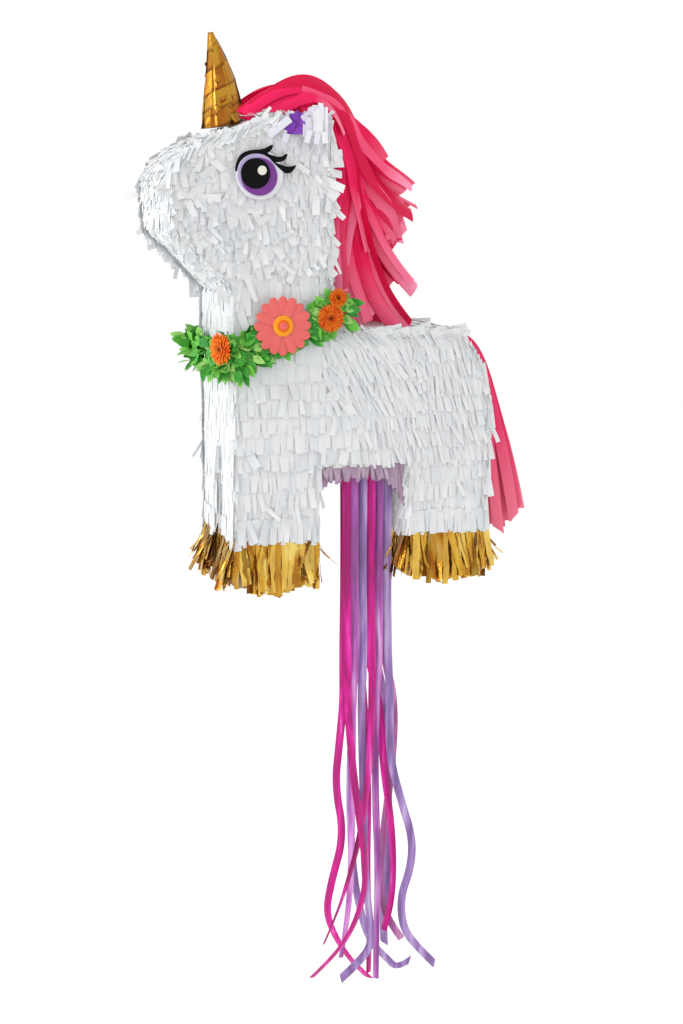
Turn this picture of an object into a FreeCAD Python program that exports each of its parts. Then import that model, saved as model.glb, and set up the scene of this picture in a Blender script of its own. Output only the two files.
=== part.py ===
"""Pull-string pinata in the shape of a unicorn: a card shell covered with paper fringe.

Frame: origin at the top of the hanging eyelet on the crown, +Z up, nose towards -X, and
the animal's left side towards -Y.  All lengths are in millimetres.
"""
import FreeCAD
import Part
import math
import os
import re
import Sketcher

# Driving dimensions: alias, value, meaning.
DIMENSIONS = [
    ("card", 3.0, "thickness of the corrugated card"),
    ("panel_half", 55.0, "middle plane to the outer face of a side panel"),
    ("side_nap", 7.0, "depth of the paper fringe on the sides"),
    ("edge_nap", 6.0, "depth of the paper fringe on the narrow faces"),
    ("gap", 0.5, "running gap round a flap"),
    ("chest_x", -62.0, "front face of chest and neck"),
    ("throat_z", -160.0, "where the jaw meets the neck"),
    ("chin_x", -118.0, "front end of the jaw"),
    ("chin_z", -96.0, "height of the chin"),
    ("crown_z", -7.0, "top of the card skull"),
    ("nape_x", 29.0, "rear face of head and neck"),
    ("back_z", -201.0, "top of the back"),
    ("rump_start_x", 156.0, "where the back starts to round over"),
    ("rump_x", 190.0, "rear face of the body"),
    ("belly_z", -326.0, "underside of the body"),
    ("leg_length", 77.0, "leg size along the body"),
    ("leg_width", 40.0, "leg size across the body"),
    ("rear_leg_x", 110.0, "front face of the rear legs"),
    ("foot_z", -438.0, "sole of the card legs"),
    ("white_end_z", -398.0, "lower end of the white fringe on the legs"),
    ("foil_end_z", -449.0, "lower end of the foil fringe on the feet"),
    ("foil_nap", 8.0, "depth of the foil fringe"),
    ("plate_length", 48.0, "hanger plate, along the body"),
    ("plate_width", 50.0, "hanger plate, across the body"),
    ("plate_thickness", 6.0, "hanger plate thickness"),
    ("eyelet_bore", 4.0, "bore radius of the hanging eyelet"),
    ("eyelet_wall", 1.5, "wall of the hanging eyelet"),
    ("eyelet_flange", 10.0, "flange radius of the hanging eyelet"),
    ("eyelet_flange_depth", 1.5, "flange thickness of the hanging eyelet"),
    ("horn_x", -55.0, "centre of the horn's foot"),
    ("horn_z", -13.0, "height of the horn's foot"),
    ("horn_radius", 19.0, "radius of the horn's foot"),
    ("horn_tip_radius", 2.0, "radius of the horn's tip"),
    ("horn_height", 84.0, "length of the horn"),
    ("horn_wall", 1.5, "wall of the paper cone"),
    ("horn_lean", 7.0, "forward lean of the horn, degrees"),
    ("ear_x", -13.0, "front edge of an ear"),
    ("ear_z", -24.0, "foot of an ear"),
    ("ear_width", 40.0, "ear size along the head"),
    ("ear_height", 34.0, "ear size upwards"),
    ("ear_thickness", 3.0, "fringed card of an ear"),
    ("ear_lining", 1.0, "paper lining of an ear"),
    ("ear_turn", 22.0, "how far an ear stands out from the head, degrees"),
    ("eye_x", -37.7, "centre of an eye"),
    ("eye_z", -57.3, "height of an eye"),
    ("eye_radius", 21.8, "white disc of an eye"),
    ("eye_layer", 0.8, "thickness of each layer of an eye"),
    ("trap_x", 42.0, "front edge of the trap opening"),
    ("trap_length", 60.0, "trap opening along the body"),
    ("trap_near_y", -40.0, "free side of the trap opening"),
    ("trap_hinge_y", 36.0, "fold line of the trap flap"),
    ("trap_nap", 8.0, "depth of the fringe under the trap flap"),
    ("tape_length", 57.0, "tape strip that holds the ribbons"),
    ("tape_width", 19.5, "tape strip size across the body"),
    ("tape_thickness", 2.0, "tape strip with the folded ribbon ends"),
    ("skirt_depth", 18.0, "hanging length of the fringe along the belly"),
    ("fill_x", 75.0, "front edge of the fill opening"),
    ("fill_length", 70.0, "fill opening along the body"),
    ("fill_hinge_z", -225.0, "fold line of the fill flap"),
    ("fill_height", 70.0, "fill opening downwards"),
    ("fill_nap_drop", 10.0, "fold line to the top of the flap's own fringe"),
    ("garland_depth", 7.0, "garland thickness on the sides"),
    ("garland_reach", 12.0, "garland thickness at the front and the rear"),
    ("daisy_x", -18.6, "centre of a daisy"),
    ("daisy_z", -192.0, "height of a daisy"),
    ("daisy_radius", 28.0, "daisy petals"),
    ("gerbera_radius", 14.0, "gerbera petals"),
    ("chest_flower_turn", 23.0, "turn of the chest gerbera towards the side, in degrees"),
    ("flower_layer", 2.0, "thickness of a flower"),
    ("button_radius", 9.0, "centre of a daisy"),
    ("mane_half", 34.0, "mane, half of its width"),
    ("tail_half", 20.0, "tail, half of its width"),
    ("ribbon_width", 8.0, "ribbon width"),
]
size = {alias: value for alias, value, meaning in DIMENSIONS}

# Hand-chosen routes of the pull ribbons, from the tape strip down to their ends.
RIBBON_ROUTES = {
    "ribbon_1": [(54, -35.3, -328.4), (53.3, -35.6, -425), (54.7, -37.6, -525), (51, -45.5, -561),
                 (53, -55.7, -625), (60, -58, -682), (67, -58, -734), (64, -58, -767), (51, -58, -800),
                 (33, -58, -823), (10, -58, -842)],
    "ribbon_2": [(62.4, -35.3, -328.4), (61.7, -35.6, -425), (63.1, -35.8, -525), (59, -37.6, -564),
                 (58, -40, -657), (57, -40.5, -742), (54, -40.5, -790), (46, -40.5, -835)],
    "ribbon_3": [(70.8, -35.3, -328.4), (70.1, -35.6, -425), (71.5, -35.8, -525), (68, -37.6, -565),
                 (70, -40, -658), (71, -40.5, -743), (78, -40.5, -804), (79, -40.5, -827),
                 (63, -40.5, -845), (46, -40.5, -858)],
    "ribbon_4": [(79.2, -35.3, -328.4), (78.5, -35.6, -425), (79.9, -36.7, -525), (77, -45, -564),
                 (74, -47.8, -630), (64, -49.2, -702), (51, -49.2, -748), (40, -49.2, -781),
                 (26, -49.2, -811)],
    "ribbon_5": [(87.6, -35.3, -328.4), (86.9, -35.6, -425), (88.3, -34.9, -525), (85, -33.7, -568),
                 (85, -32.1, -663), (89, -31.8, -750), (87, -31.8, -815), (87, -31.8, -868)],
    "ribbon_6": [(96, -35.3, -328.4), (95.3, -35.6, -425), (96.7, -35.8, -525), (99, -37.6, -568),
                 (97, -40, -625), (110, -40.5, -674), (123, -40.5, -716), (121, -40.5, -748),
                 (110, -40.5, -778), (113, -40.5, -813), (130, -40.5, -837), (148, -40.5, -857)],
    "ribbon_7": [(54, -26.8, -328.4), (54.6, -26.4, -425), (53.4, -25, -525), (56, -18.8, -570),
                 (54, -10.8, -619), (50, -9, -662), (60, -9, -717), (46, -9, -766), (40, -9, -799),
                 (51, -9, -829), (69, -9, -859), (87, -9, -878)],
    "ribbon_8": [(62.4, -26.8, -328.4), (63, -26.4, -425), (61.8, -25.9, -525), (65, -22.8, -569),
                 (62, -18.7, -665), (66, -17.8, -752), (76, -17.8, -806), (87, -17.8, -836),
                 (103, -17.8, -854), (115, -17.8, -869), (129, -17.8, -861)],
    "ribbon_9": [(70.8, -26.8, -328.4), (71.4, -26.4, -425), (70.2, -24.1, -525), (79, -14.7, -573),
                 (88, -2.7, -674), (88, 0, -763), (91, 0, -830), (90, 0, -877)],
    "ribbon_10": [(79.2, -26.8, -328.4), (79.8, -26.4, -425), (78.6, -26.4, -525), (92, -25.2, -571),
                  (97, -23.6, -646), (106, -23.2, -701), (109, -23.2, -756), (106, -23.2, -797),
                  (98, -23.2, -820)],
    "ribbon_11": [(87.6, -26.8, -328.4), (88.2, -26.4, -425), (87, -23.9, -525), (105, -6.6, -578),
                  (111, -0.9, -677), (112, 2, -767), (106, 2, -816), (108, 2, -848)],
    "ribbon_12": [(96, -26.8, -328.4), (96.6, -26.4, -425), (95.4, -25.6, -525), (110, -21.2, -574),
                  (109, -15.6, -650), (99, -14.4, -725), (97, -14.4, -780), (104, -14.4, -811),
                  (121, -14.4, -837)],
}

doc = FreeCAD.newDocument("Pinata")
sheet = doc.addObject("Spreadsheet::Sheet", "Sizes")
for row, (alias, value, meaning) in enumerate(DIMENSIONS, start=1):
    sheet.set(f"A{row}", alias)
    sheet.set(f"B{row}", str(value))
    sheet.set(f"C{row}", meaning)
    sheet.setAlias(f"B{row}", alias)
doc.recompute()
nodes = []


def cell(text):
    """Turn the aliases in a formula into references to the sheet."""
    return re.sub(r"[a-z_]+", lambda m: "Sizes." + m[0] if m[0] in size else m[0], str(text))


def bind(item, **formulas):
    """Bind properties of one object to the sheet."""
    for name, formula in formulas.items():
        item.setExpression(name.replace("__", "."), cell(formula))


def place(item, x=None, y=None, z=None):
    """Bind an object's position to the sheet."""
    for axis, formula in (("x", x), ("y", y), ("z", z)):
        if formula is not None:
            item.setExpression(f".Placement.Base.{axis}", cell(formula))


def node(item, label):
    """Give a finished sub-part the name of its file."""
    item.Label = label
    nodes.append(item)
    return item


def block(name, low, high):
    """Box between two corners, each given as three formulas."""
    item = doc.addObject("Part::Box", name)
    bind(item, Length=f"({high[0]}) - ({low[0]})", Width=f"({high[1]}) - ({low[1]})",
         Height=f"({high[2]}) - ({low[2]})")
    place(item, *low)
    return item


def cut(name, base, tool):
    item = doc.addObject("Part::Cut", name)
    item.Base = base
    item.Tool = tool
    return item


def common(name, base, tool):
    item = doc.addObject("Part::Common", name)
    item.Base = base
    item.Tool = tool
    return item


def mirror(name, source):
    """The same piece on the other side of the animal."""
    item = doc.addObject("Part::Mirroring", name)
    item.Source = source
    item.Normal = (0, 1, 0)
    return item


def group(name, links):
    item = doc.addObject("Part::Compound", name)
    item.Links = links
    return item


def draw(sketch, start, *steps):
    """Closed outline from a start point; a step is a point, or (middle, end) for an arc."""
    here = FreeCAD.Vector(*start, 0)
    for step in steps + (start,):
        if isinstance(step[0], tuple):
            middle = FreeCAD.Vector(*step[0], 0)
            there = FreeCAD.Vector(*step[1], 0)
            sketch.addGeometry(Part.Arc(here, middle, there), False)
        else:
            there = FreeCAD.Vector(*step, 0)
            if there.distanceToPoint(here) > 1e-6:
                sketch.addGeometry(Part.LineSegment(here, there), False)
        here = there
    return sketch


def side_profile(name, start, *steps):
    """Outline in the side view: sketch x is X, sketch y is Z."""
    sketch = doc.addObject("Sketcher::SketchObject", name)
    sketch.Placement = FreeCAD.Placement(
        FreeCAD.Vector(0, 0, 0), FreeCAD.Rotation(FreeCAD.Vector(1, 0, 0), 90))
    return draw(sketch, start, *steps)


def extrude(name, profile, low_y, depth):
    """Solid from a side profile, from low_y towards +Y."""
    item = doc.addObject("Part::Extrusion", name)
    item.Base = profile
    item.DirMode = "Custom"
    item.Dir = FreeCAD.Vector(0, 1, 0)
    item.Solid = True
    bind(item, LengthFwd=depth)
    place(item, y=low_y)
    return item


def plane(body, role):
    return [f for f in body.Origin.OriginFeatures if f.Role == role][0]


def body_sketch(body, name, role, offset=None):
    """Sketch on one of a body's own origin planes, moved along its normal by a formula."""
    sketch = body.newObject("Sketcher::SketchObject", name)
    sketch.AttachmentSupport = [(plane(body, role), "")]
    sketch.MapMode = "FlatFace"
    if offset is not None:
        sketch.setExpression(".AttachmentOffset.Base.z", cell(offset))
    return sketch


def pad(body, name, sketch, length):
    item = body.newObject("PartDesign::Pad", name)
    item.Profile = sketch
    bind(item, Length=length)
    return item


def pocket(body, name, sketch, length):
    item = body.newObject("PartDesign::Pocket", name)
    item.Profile = sketch
    item.Reversed = True
    bind(item, Length=length)
    return item


def rectangle(sketch, x, y, length, width):
    """Axis-parallel rectangle, its corner x, y from the sketch origin, all bound to the sheet."""
    corners = [(1, 1), (9, 1), (9, 9), (1, 9)]
    for k in range(4):
        sketch.addGeometry(Part.LineSegment(FreeCAD.Vector(*corners[k], 0),
                                            FreeCAD.Vector(*corners[(k + 1) % 4], 0)), False)
    for k in range(4):
        sketch.addConstraint(Sketcher.Constraint("Coincident", k, 2, (k + 1) % 4, 1))
    for k, kind in enumerate(("Horizontal", "Vertical", "Horizontal", "Vertical")):
        sketch.addConstraint(Sketcher.Constraint(kind, k))
    if x is None:
        sketch.addConstraint(Sketcher.Constraint("Coincident", 0, 1, -1, 1))
    else:
        corner_x = sketch.addConstraint(Sketcher.Constraint("DistanceX", -1, 1, 0, 1, 1.0))
        corner_y = sketch.addConstraint(Sketcher.Constraint("DistanceY", -1, 1, 0, 1, 1.0))
        sketch.setExpression(f"Constraints[{corner_x}]", cell(x))
        sketch.setExpression(f"Constraints[{corner_y}]", cell(y))
    side_x = sketch.addConstraint(Sketcher.Constraint("DistanceX", 0, 1, 0, 2, 8.0))
    side_y = sketch.addConstraint(Sketcher.Constraint("DistanceY", 1, 1, 1, 2, 8.0))
    sketch.setExpression(f"Constraints[{side_x}]", cell(length))
    sketch.setExpression(f"Constraints[{side_y}]", cell(width))
    return sketch


def plate(label, x, y, z, length, width, thickness):
    """Flat sheet as a padded rectangle, its low corner at x, y, z."""
    body = doc.addObject("PartDesign::Body", label)
    sketch = rectangle(body_sketch(body, label + "_outline", "XY_Plane"), None, None, length, width)
    pad(body, label + "_pad", sketch, thickness)
    place(body, x, y, z)
    return body


# ---- card shell -------------------------------------------------------------------------
LEFT, RIGHT = -1, 1
card_outline = side_profile(
    "card_outline",
    (size["chest_x"], size["belly_z"]),
    (size["chest_x"], size["throat_z"]),
    (-103, -117),
    ((-113, -109), (size["chin_x"], size["chin_z"])),
    (-119, -66),
    ((-115, -51), (-103, -40)),
    (-84, -27),
    (-50, -18),
    (-28, size["crown_z"]),
    (size["nape_x"], size["crown_z"]),
    (size["nape_x"], size["back_z"]),
    (size["rump_start_x"], size["back_z"]),
    ((177, -226), (size["rump_x"], -275)),
    (size["rump_x"], size["belly_z"]),
)
inner_outline = doc.addObject("Part::Offset2D", "inner_outline")
inner_outline.Source = card_outline
inner_outline.Join = 0
bind(inner_outline, Value="-card")
outer_outline = doc.addObject("Part::Offset2D", "outer_outline")
outer_outline.Source = card_outline
outer_outline.Join = 2
bind(outer_outline, Value="edge_nap")

left_side_panel = node(extrude("left_panel", card_outline, "-panel_half", "card"),
                       "left_side_panel")
right_panel_blank = extrude("right_panel_blank", card_outline, "panel_half - card", "card")
fill_opening = block("fill_opening", ("fill_x", "panel_half - 2 * card", "fill_hinge_z - fill_height"),
                     ("fill_x + fill_length", "panel_half + 2 * side_nap", "fill_hinge_z"))
node(cut("right_panel", right_panel_blank, fill_opening), "right_side_panel")

core = extrude("core", card_outline, "card - panel_half", "2 * (panel_half - card)")
hollow = extrude("hollow", inner_outline, "-panel_half", "2 * panel_half")
card_ring = cut("card_ring", core, hollow)
RING_PARTS = {
    "head_strip": (("chin_x - 2 * card", "chin_z"), ("nape_x - card", "0")),
    "jaw_strip": (("chin_x - 2 * card", "throat_z"), ("chest_x + card", "chin_z")),
    "chest_strip": (("chest_x - card", "belly_z - card"), ("chest_x + card", "throat_z")),
    "nape_strip": (("nape_x - card", "back_z - card"), ("nape_x", "0")),
    "back_strip": (("nape_x", "back_z - card"), ("rump_start_x", "back_z + card")),
    "rump_strip": (("rump_start_x", "belly_z + card"), ("rump_x + card", "back_z + card")),
    "belly_strip": (("chest_x + card", "belly_z - card"), ("rump_x + card", "belly_z + card")),
}
strips = {}
for label, (low, high) in RING_PARTS.items():
    region = block(label + "_region", (low[0], "-panel_half", low[1]),
                   (high[0], "panel_half", high[1]))
    strips[label] = common(label + "_blank", card_ring, region)

eyelet_hole = doc.addObject("Part::Cylinder", "eyelet_hole")
bind(eyelet_hole, Radius="eyelet_bore + eyelet_wall", Height="4 * plate_thickness")
place(eyelet_hole, z="crown_z - 3 * plate_thickness")
strips["head_strip"] = cut("head_strip_holed", strips["head_strip"], eyelet_hole)
trap_opening = block("trap_opening", ("trap_x", "trap_near_y", "belly_z - 4 * card"),
                     ("trap_x + trap_length", "trap_hinge_y", "belly_z + 4 * card"))
strips["belly_strip"] = cut("belly_strip_opened", strips["belly_strip"], trap_opening)
for label, strip in strips.items():
    node(strip, label)

# ---- legs: folded card tubes with a closed sole -----------------------------------------
LEGS = {"front_left": ("chest_x", LEFT), "front_right": ("chest_x", RIGHT),
        "rear_left": ("rear_leg_x", LEFT), "rear_right": ("rear_leg_x", RIGHT)}
leg_sleeves = []
for name, (leg_x, side) in LEGS.items():
    leg_y = "-panel_half" if side == LEFT else "panel_half - leg_width"
    leg = doc.addObject("PartDesign::Body", name + "_leg_body")
    pad(leg, name + "_leg_pad",
        rectangle(body_sketch(leg, name + "_leg_outer", "XY_Plane"), None, None,
                  "leg_length", "leg_width"), "belly_z - foot_z")
    pocket(leg, name + "_leg_hollow",
           rectangle(body_sketch(leg, name + "_leg_inner", "XY_Plane", "card"), "card", "card",
                     "leg_length - 2 * card", "leg_width - 2 * card"), "belly_z - foot_z")
    place(leg, leg_x, leg_y, "foot_z")
    node(leg, name + "_leg")

    sleeve_outer = block(name + "_sleeve_outer",
                         (f"{leg_x} - edge_nap", f"{leg_y} - edge_nap", "white_end_z"),
                         (f"{leg_x} + leg_length + edge_nap", f"{leg_y} + leg_width + edge_nap",
                          "belly_z"))
    sleeve_core = block(name + "_sleeve_core", (leg_x, leg_y, "foot_z"),
                        (f"{leg_x} + leg_length", f"{leg_y} + leg_width", "belly_z + card"))
    leg_sleeves.append(cut(name + "_sleeve", sleeve_outer, sleeve_core))

    foil_outer = block(name + "_foil_outer",
                       (f"{leg_x} - foil_nap", f"{leg_y} - foil_nap", "foil_end_z"),
                       (f"{leg_x} + leg_length + foil_nap", f"{leg_y} + leg_width + foil_nap",
                        "white_end_z"))
    foil_core = block(name + "_foil_core", (leg_x, leg_y, "foil_end_z - card"),
                      (f"{leg_x} + leg_length", f"{leg_y} + leg_width", "belly_z"))
    node(cut(name + "_foil", foil_outer, foil_core), name + "_hoof_foil")
node(group("leg_sleeves", leg_sleeves), "leg_fringes")

# ---- hanger: plate under the crown and a flanged eyelet through it -----------------------
plate_body = plate("hanger_plate_body", "-plate_length / 2", "-plate_width / 2",
                   "crown_z - card - plate_thickness", "plate_length", "plate_width",
                   "plate_thickness")
node(cut("hanger_plate_holed", plate_body, eyelet_hole), "hanger_plate")
eyelet = doc.addObject("PartDesign::Body", "hanger_eyelet_body")
eyelet_section = body_sketch(eyelet, "eyelet_section", "XZ_Plane")
eyelet_outer = size["eyelet_bore"] + size["eyelet_wall"]
eyelet_foot = size["crown_z"] - size["card"] - size["plate_thickness"] - 1
draw(eyelet_section, (size["eyelet_bore"], eyelet_foot), (eyelet_outer, eyelet_foot),
     (eyelet_outer, size["crown_z"]), (size["eyelet_flange"], size["crown_z"]),
     (size["eyelet_flange"], size["crown_z"] + size["eyelet_flange_depth"]),
     (eyelet_outer, size["crown_z"] + size["eyelet_flange_depth"]), (eyelet_outer, 0),
     (size["eyelet_bore"], 0))
turned = eyelet.newObject("PartDesign::Revolution", "eyelet_turned")
turned.Profile = eyelet_section
turned.ReferenceAxis = (eyelet_section, ["V_Axis"])
turned.Angle = 360
node(eyelet, "hanger_eyelet")

# ---- paper fringe on the shell: plain soft covers ----------------------------------------
outer_block = extrude("outer_block", outer_outline, "-panel_half", "2 * panel_half")
inner_block = extrude("inner_block", card_outline, "-panel_half - card",
                      "2 * (panel_half + card)")
nap_ring = cut("nap_ring", outer_block, inner_block)
node(extrude("left_nap", card_outline, "-panel_half - side_nap", "side_nap"), "left_side_fringe")
right_nap = extrude("right_nap", card_outline, "panel_half", "side_nap")
node(cut("right_nap_opened", right_nap, fill_opening), "right_side_fringe")
head_region = block("head_nap_region", ("chin_x - 2 * edge_nap", "-panel_half", "chin_z"),
                    ("nape_x", "panel_half", "edge_nap"))
flange_clearance = doc.addObject("Part::Cylinder", "flange_clearance")
bind(flange_clearance, Radius="eyelet_flange + 1", Height="3 * edge_nap")
place(flange_clearance, z="crown_z - edge_nap")
head_nap = common("head_nap", nap_ring, head_region)
horn_seat = doc.addObject("Part::Cylinder", "horn_seat")
bind(horn_seat, Radius="horn_radius + 1", Height="6 * edge_nap")
place(horn_seat, "horn_x", None, "horn_z - 3 * edge_nap")
head_nap = cut("head_nap_holed", head_nap, flange_clearance)
node(cut("head_nap_seated", head_nap, horn_seat), "head_fringe")
chest_region = block("chest_nap_region", ("chin_x - 2 * edge_nap", "-panel_half", "belly_z"),
                     ("chest_x + card", "panel_half", "chin_z"))
node(common("chest_nap", nap_ring, chest_region), "chest_fringe")
rear_region = block("rear_nap_region", ("nape_x + 2 * edge_nap", "-panel_half", "belly_z"),
                    ("rump_x + 2 * edge_nap", "panel_half", "back_z + 2 * edge_nap"))
node(common("rear_nap", nap_ring, rear_region), "rear_fringe")
skirt_x = ("chest_x + leg_length + edge_nap + gap", "rear_leg_x - edge_nap - gap")
left_skirt = block("left_skirt", (skirt_x[0], "-panel_half", "belly_z - skirt_depth"),
                   (skirt_x[1], "-panel_half + edge_nap", "belly_z"))
right_skirt = mirror("right_skirt", left_skirt)
node(group("skirts", [left_skirt, right_skirt]), "belly_fringe")

# ---- horn and ears -----------------------------------------------------------------------
horn_outer = doc.addObject("Part::Cone", "horn_outer")
bind(horn_outer, Radius1="horn_radius", Radius2="horn_tip_radius", Height="horn_height")
horn_inner = doc.addObject("Part::Cone", "horn_inner")
bind(horn_inner, Radius1="horn_radius - horn_wall", Radius2="horn_tip_radius / 4",
     Height="horn_height - 4 * horn_wall")
horn_cone = cut("horn_cone", horn_outer, horn_inner)
horn_cone.Placement = FreeCAD.Placement(
    FreeCAD.Vector(0, 0, 0), FreeCAD.Rotation(FreeCAD.Vector(0, 1, 0), -size["horn_lean"]))
place(horn_cone, "horn_x", None, "horn_z")
node(cut("horn_trimmed", horn_cone, inner_block), "horn")

ear_half = size["ear_width"] / 2


def ear_leaf(name, thickness, inset, lift):
    """Pointed leaf standing out from the side of the head, thickness along its own Y."""
    body = doc.addObject("PartDesign::Body", name)
    sketch = body_sketch(body, name + "_outline", "XZ_Plane")
    low = (inset, inset)
    draw(sketch, low, (size["ear_width"] - inset, inset),
         ((size["ear_width"] - inset - 1, size["ear_height"] * 0.55),
          (ear_half + 2, size["ear_height"] - inset)),
         ((inset + 2, size["ear_height"] * 0.5), low))
    pad(body, name + "_pad", sketch, thickness)
    out = -size["panel_half"] - size["side_nap"] - 1
    turn = FreeCAD.Rotation(FreeCAD.Vector(0, 0, 1), -size["ear_turn"])
    start = FreeCAD.Vector(size["ear_x"], out, size["ear_z"])
    body.Placement = FreeCAD.Placement(start + turn.multVec(FreeCAD.Vector(0, lift, 0)), turn)
    return body


left_ear = node(ear_leaf("left_ear_body", "ear_thickness", 0, 0), "left_ear")
node(mirror("right_ear_mirror", left_ear), "right_ear")
left_lining = ear_leaf("left_lining_body", "ear_lining", 3, -size["ear_thickness"])
node(group("linings", [left_lining, mirror("right_lining", left_lining)]), "ear_linings")

# ---- eyes: layered card discs on the fringe ----------------------------------------------
eye_x, eye_z, eye_radius = size["eye_x"], size["eye_z"], size["eye_radius"]
LID_RADIUS = eye_radius + 2.5


def on_lid(angle, radius=LID_RADIUS):
    """Point round the eye, angle in degrees from +X towards +Z."""
    return (eye_x + radius * math.cos(math.radians(angle)),
            eye_z + radius * math.sin(math.radians(angle)))


def eye_layer(label, layer, profile):
    """One layer of both eyes, counted outwards from the fringe."""
    left = extrude(label + "_left", profile, f"-panel_half - side_nap - {layer + 1} * eye_layer",
                   "eye_layer")
    node(group(label + "_pair", [left, mirror(label + "_right", left)]), label)


def disc_profile(name, x, z, radius):
    return side_profile(name, (x - radius, z), ((x, z + radius), (x + radius, z)),
                        ((x, z - radius), (x - radius, z)))


LASH_ANGLES = (50, 30, 10)
LASH_LENGTH = 13
lash_steps = [(on_lid(115), on_lid(60))]
for angle in LASH_ANGLES:
    lash_steps += [on_lid(angle + 12, LID_RADIUS + LASH_LENGTH), on_lid(angle - 8)]
lash_profile = side_profile("lash_outline", on_lid(170), *lash_steps,
                            (on_lid(80, eye_radius / 2), on_lid(170)))
eye_layer("eye_lashes", 0, lash_profile)
# Discs of an eye: label, centre in X and Z from the centre of the eye, radius.
EYE_DISCS = (("eye_discs", 0, 0, eye_radius), ("eye_rings", -2.1, 0.4, 17.8),
             ("eye_irises", -0.4, -1.9, 16.6), ("eye_pupils", -4.1, 1.0, 13.4),
             ("eye_highlights", 1.8, 3.7, 4.1))
for layer, (label, x, z, radius) in enumerate(EYE_DISCS, start=1):
    eye_layer(label, layer, disc_profile(label + "_outline", eye_x + x, eye_z + z, radius))

# ---- garland and flowers -----------------------------------------------------------------
garland_low_x = size["chest_x"] - size["edge_nap"] - size["garland_reach"]
garland_high_x = size["nape_x"] + 2 * size["edge_nap"]
garland_profile = side_profile(
    "garland_outline", (garland_low_x, -237), (garland_low_x, -197), (garland_high_x, -156),
    (garland_high_x, size["back_z"] + size["edge_nap"] + 1))
garland_band = extrude("garland_band", garland_profile,
                       "-panel_half - side_nap - garland_depth",
                       "2 * (panel_half + side_nap + garland_depth)")
neck_space = block("neck_space", ("chest_x - edge_nap - gap", "-panel_half - side_nap - gap",
                                  "belly_z"),
                   ("nape_x + gap", "panel_half + side_nap + gap", "0"))
garland_ring = cut("garland_ring", garland_band, neck_space)
# The front corners of the garland are cut slanting, and the chest gerbera sits on the left one.
chest_turn = math.radians(size["chest_flower_turn"])
chest_out = FreeCAD.Vector(-math.cos(chest_turn), -math.sin(chest_turn), 0)
CORNER_DISTANCE, CORNER_ALONG, CORNER_BLOCK = 90.7, 32.3, 60
left_corner = doc.addObject("Part::Box", "garland_left_corner")
left_corner.Length = left_corner.Width = left_corner.Height = CORNER_BLOCK
corner_start = chest_out * CORNER_DISTANCE + FreeCAD.Vector(
    -chest_out.y, chest_out.x, 0) * (CORNER_ALONG - CORNER_BLOCK / 2)
left_corner.Placement = FreeCAD.Placement(
    corner_start + FreeCAD.Vector(0, 0, -250),
    FreeCAD.Rotation(FreeCAD.Vector(0, 0, 1), 180 + size["chest_flower_turn"]))
one_corner = cut("garland_one_corner", garland_ring, left_corner)
node(cut("garland_both_corners", one_corner, mirror("garland_right_corner", left_corner)), "garland")


def flower_profile(name, x, z, radius, petals):
    """Ring of round petals in the side view."""
    step = 2 * math.pi / petals
    rim = [(x + radius * 0.9 * math.cos(k * step), z + radius * 0.9 * math.sin(k * step))
           for k in range(petals)]
    crest = [(x + radius * math.cos((k + 0.5) * step), z + radius * math.sin((k + 0.5) * step))
             for k in range(petals)]
    steps = [(crest[k], rim[(k + 1) % petals]) for k in range(petals)]
    return side_profile(name, rim[0], *steps)


GERBERAS = ((27, -186, 1.0), (34, -167.5, 0.68))
daisy_profile = flower_profile("daisy_outline", size["daisy_x"], size["daisy_z"],
                               size["daisy_radius"], 16)
flower_y = "-panel_half - side_nap - garland_depth - flower_layer"
left_daisy = extrude("left_daisy", daisy_profile, flower_y, "flower_layer")
node(group("daisy_pair", [left_daisy, mirror("right_daisy", left_daisy)]), "daisies")
gerbera_list = []
centre_list = []
button_profile = disc_profile("daisy_button_outline", size["daisy_x"], size["daisy_z"],
                              size["button_radius"])
centre_list.append(extrude("daisy_button", button_profile, flower_y + " - flower_layer",
                           "flower_layer"))
for number, (x, z, scale) in enumerate(GERBERAS, start=1):
    radius = size["gerbera_radius"] * scale
    profile = flower_profile(f"gerbera_{number}_outline", x, z, radius, 12)
    gerbera_list.append(extrude(f"gerbera_{number}", profile, flower_y, "flower_layer"))
    middle = disc_profile(f"gerbera_{number}_middle", x, z, radius / 5)
    centre_list.append(extrude(f"gerbera_{number}_centre", middle, flower_y + " - flower_layer",
                               "flower_layer"))
gerbera_list += [mirror(item.Name + "_far", item) for item in list(gerbera_list)]
centre_list += [mirror(item.Name + "_far", item) for item in list(centre_list)]
CHEST_FLOWER = FreeCAD.Vector(-73.85, -58.7, -212.6)


def chest_disc(name, radius, layer):
    """Round disc on the slanting corner of the garland."""
    item = doc.addObject("Part::Cylinder", name)
    item.Radius = radius
    bind(item, Height="flower_layer")
    item.Placement = FreeCAD.Placement(
        CHEST_FLOWER + chest_out * (layer * size["flower_layer"]),
        FreeCAD.Rotation(FreeCAD.Vector(0, 0, 1), chest_out))
    return item


gerbera_list.append(chest_disc("chest_gerbera", size["gerbera_radius"] * 1.18, 0))
centre_list.append(chest_disc("chest_gerbera_centre", size["gerbera_radius"] / 5, 1))
node(group("gerbera_group", gerbera_list), "gerberas")
node(group("centre_group", centre_list), "flower_centres")

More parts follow.
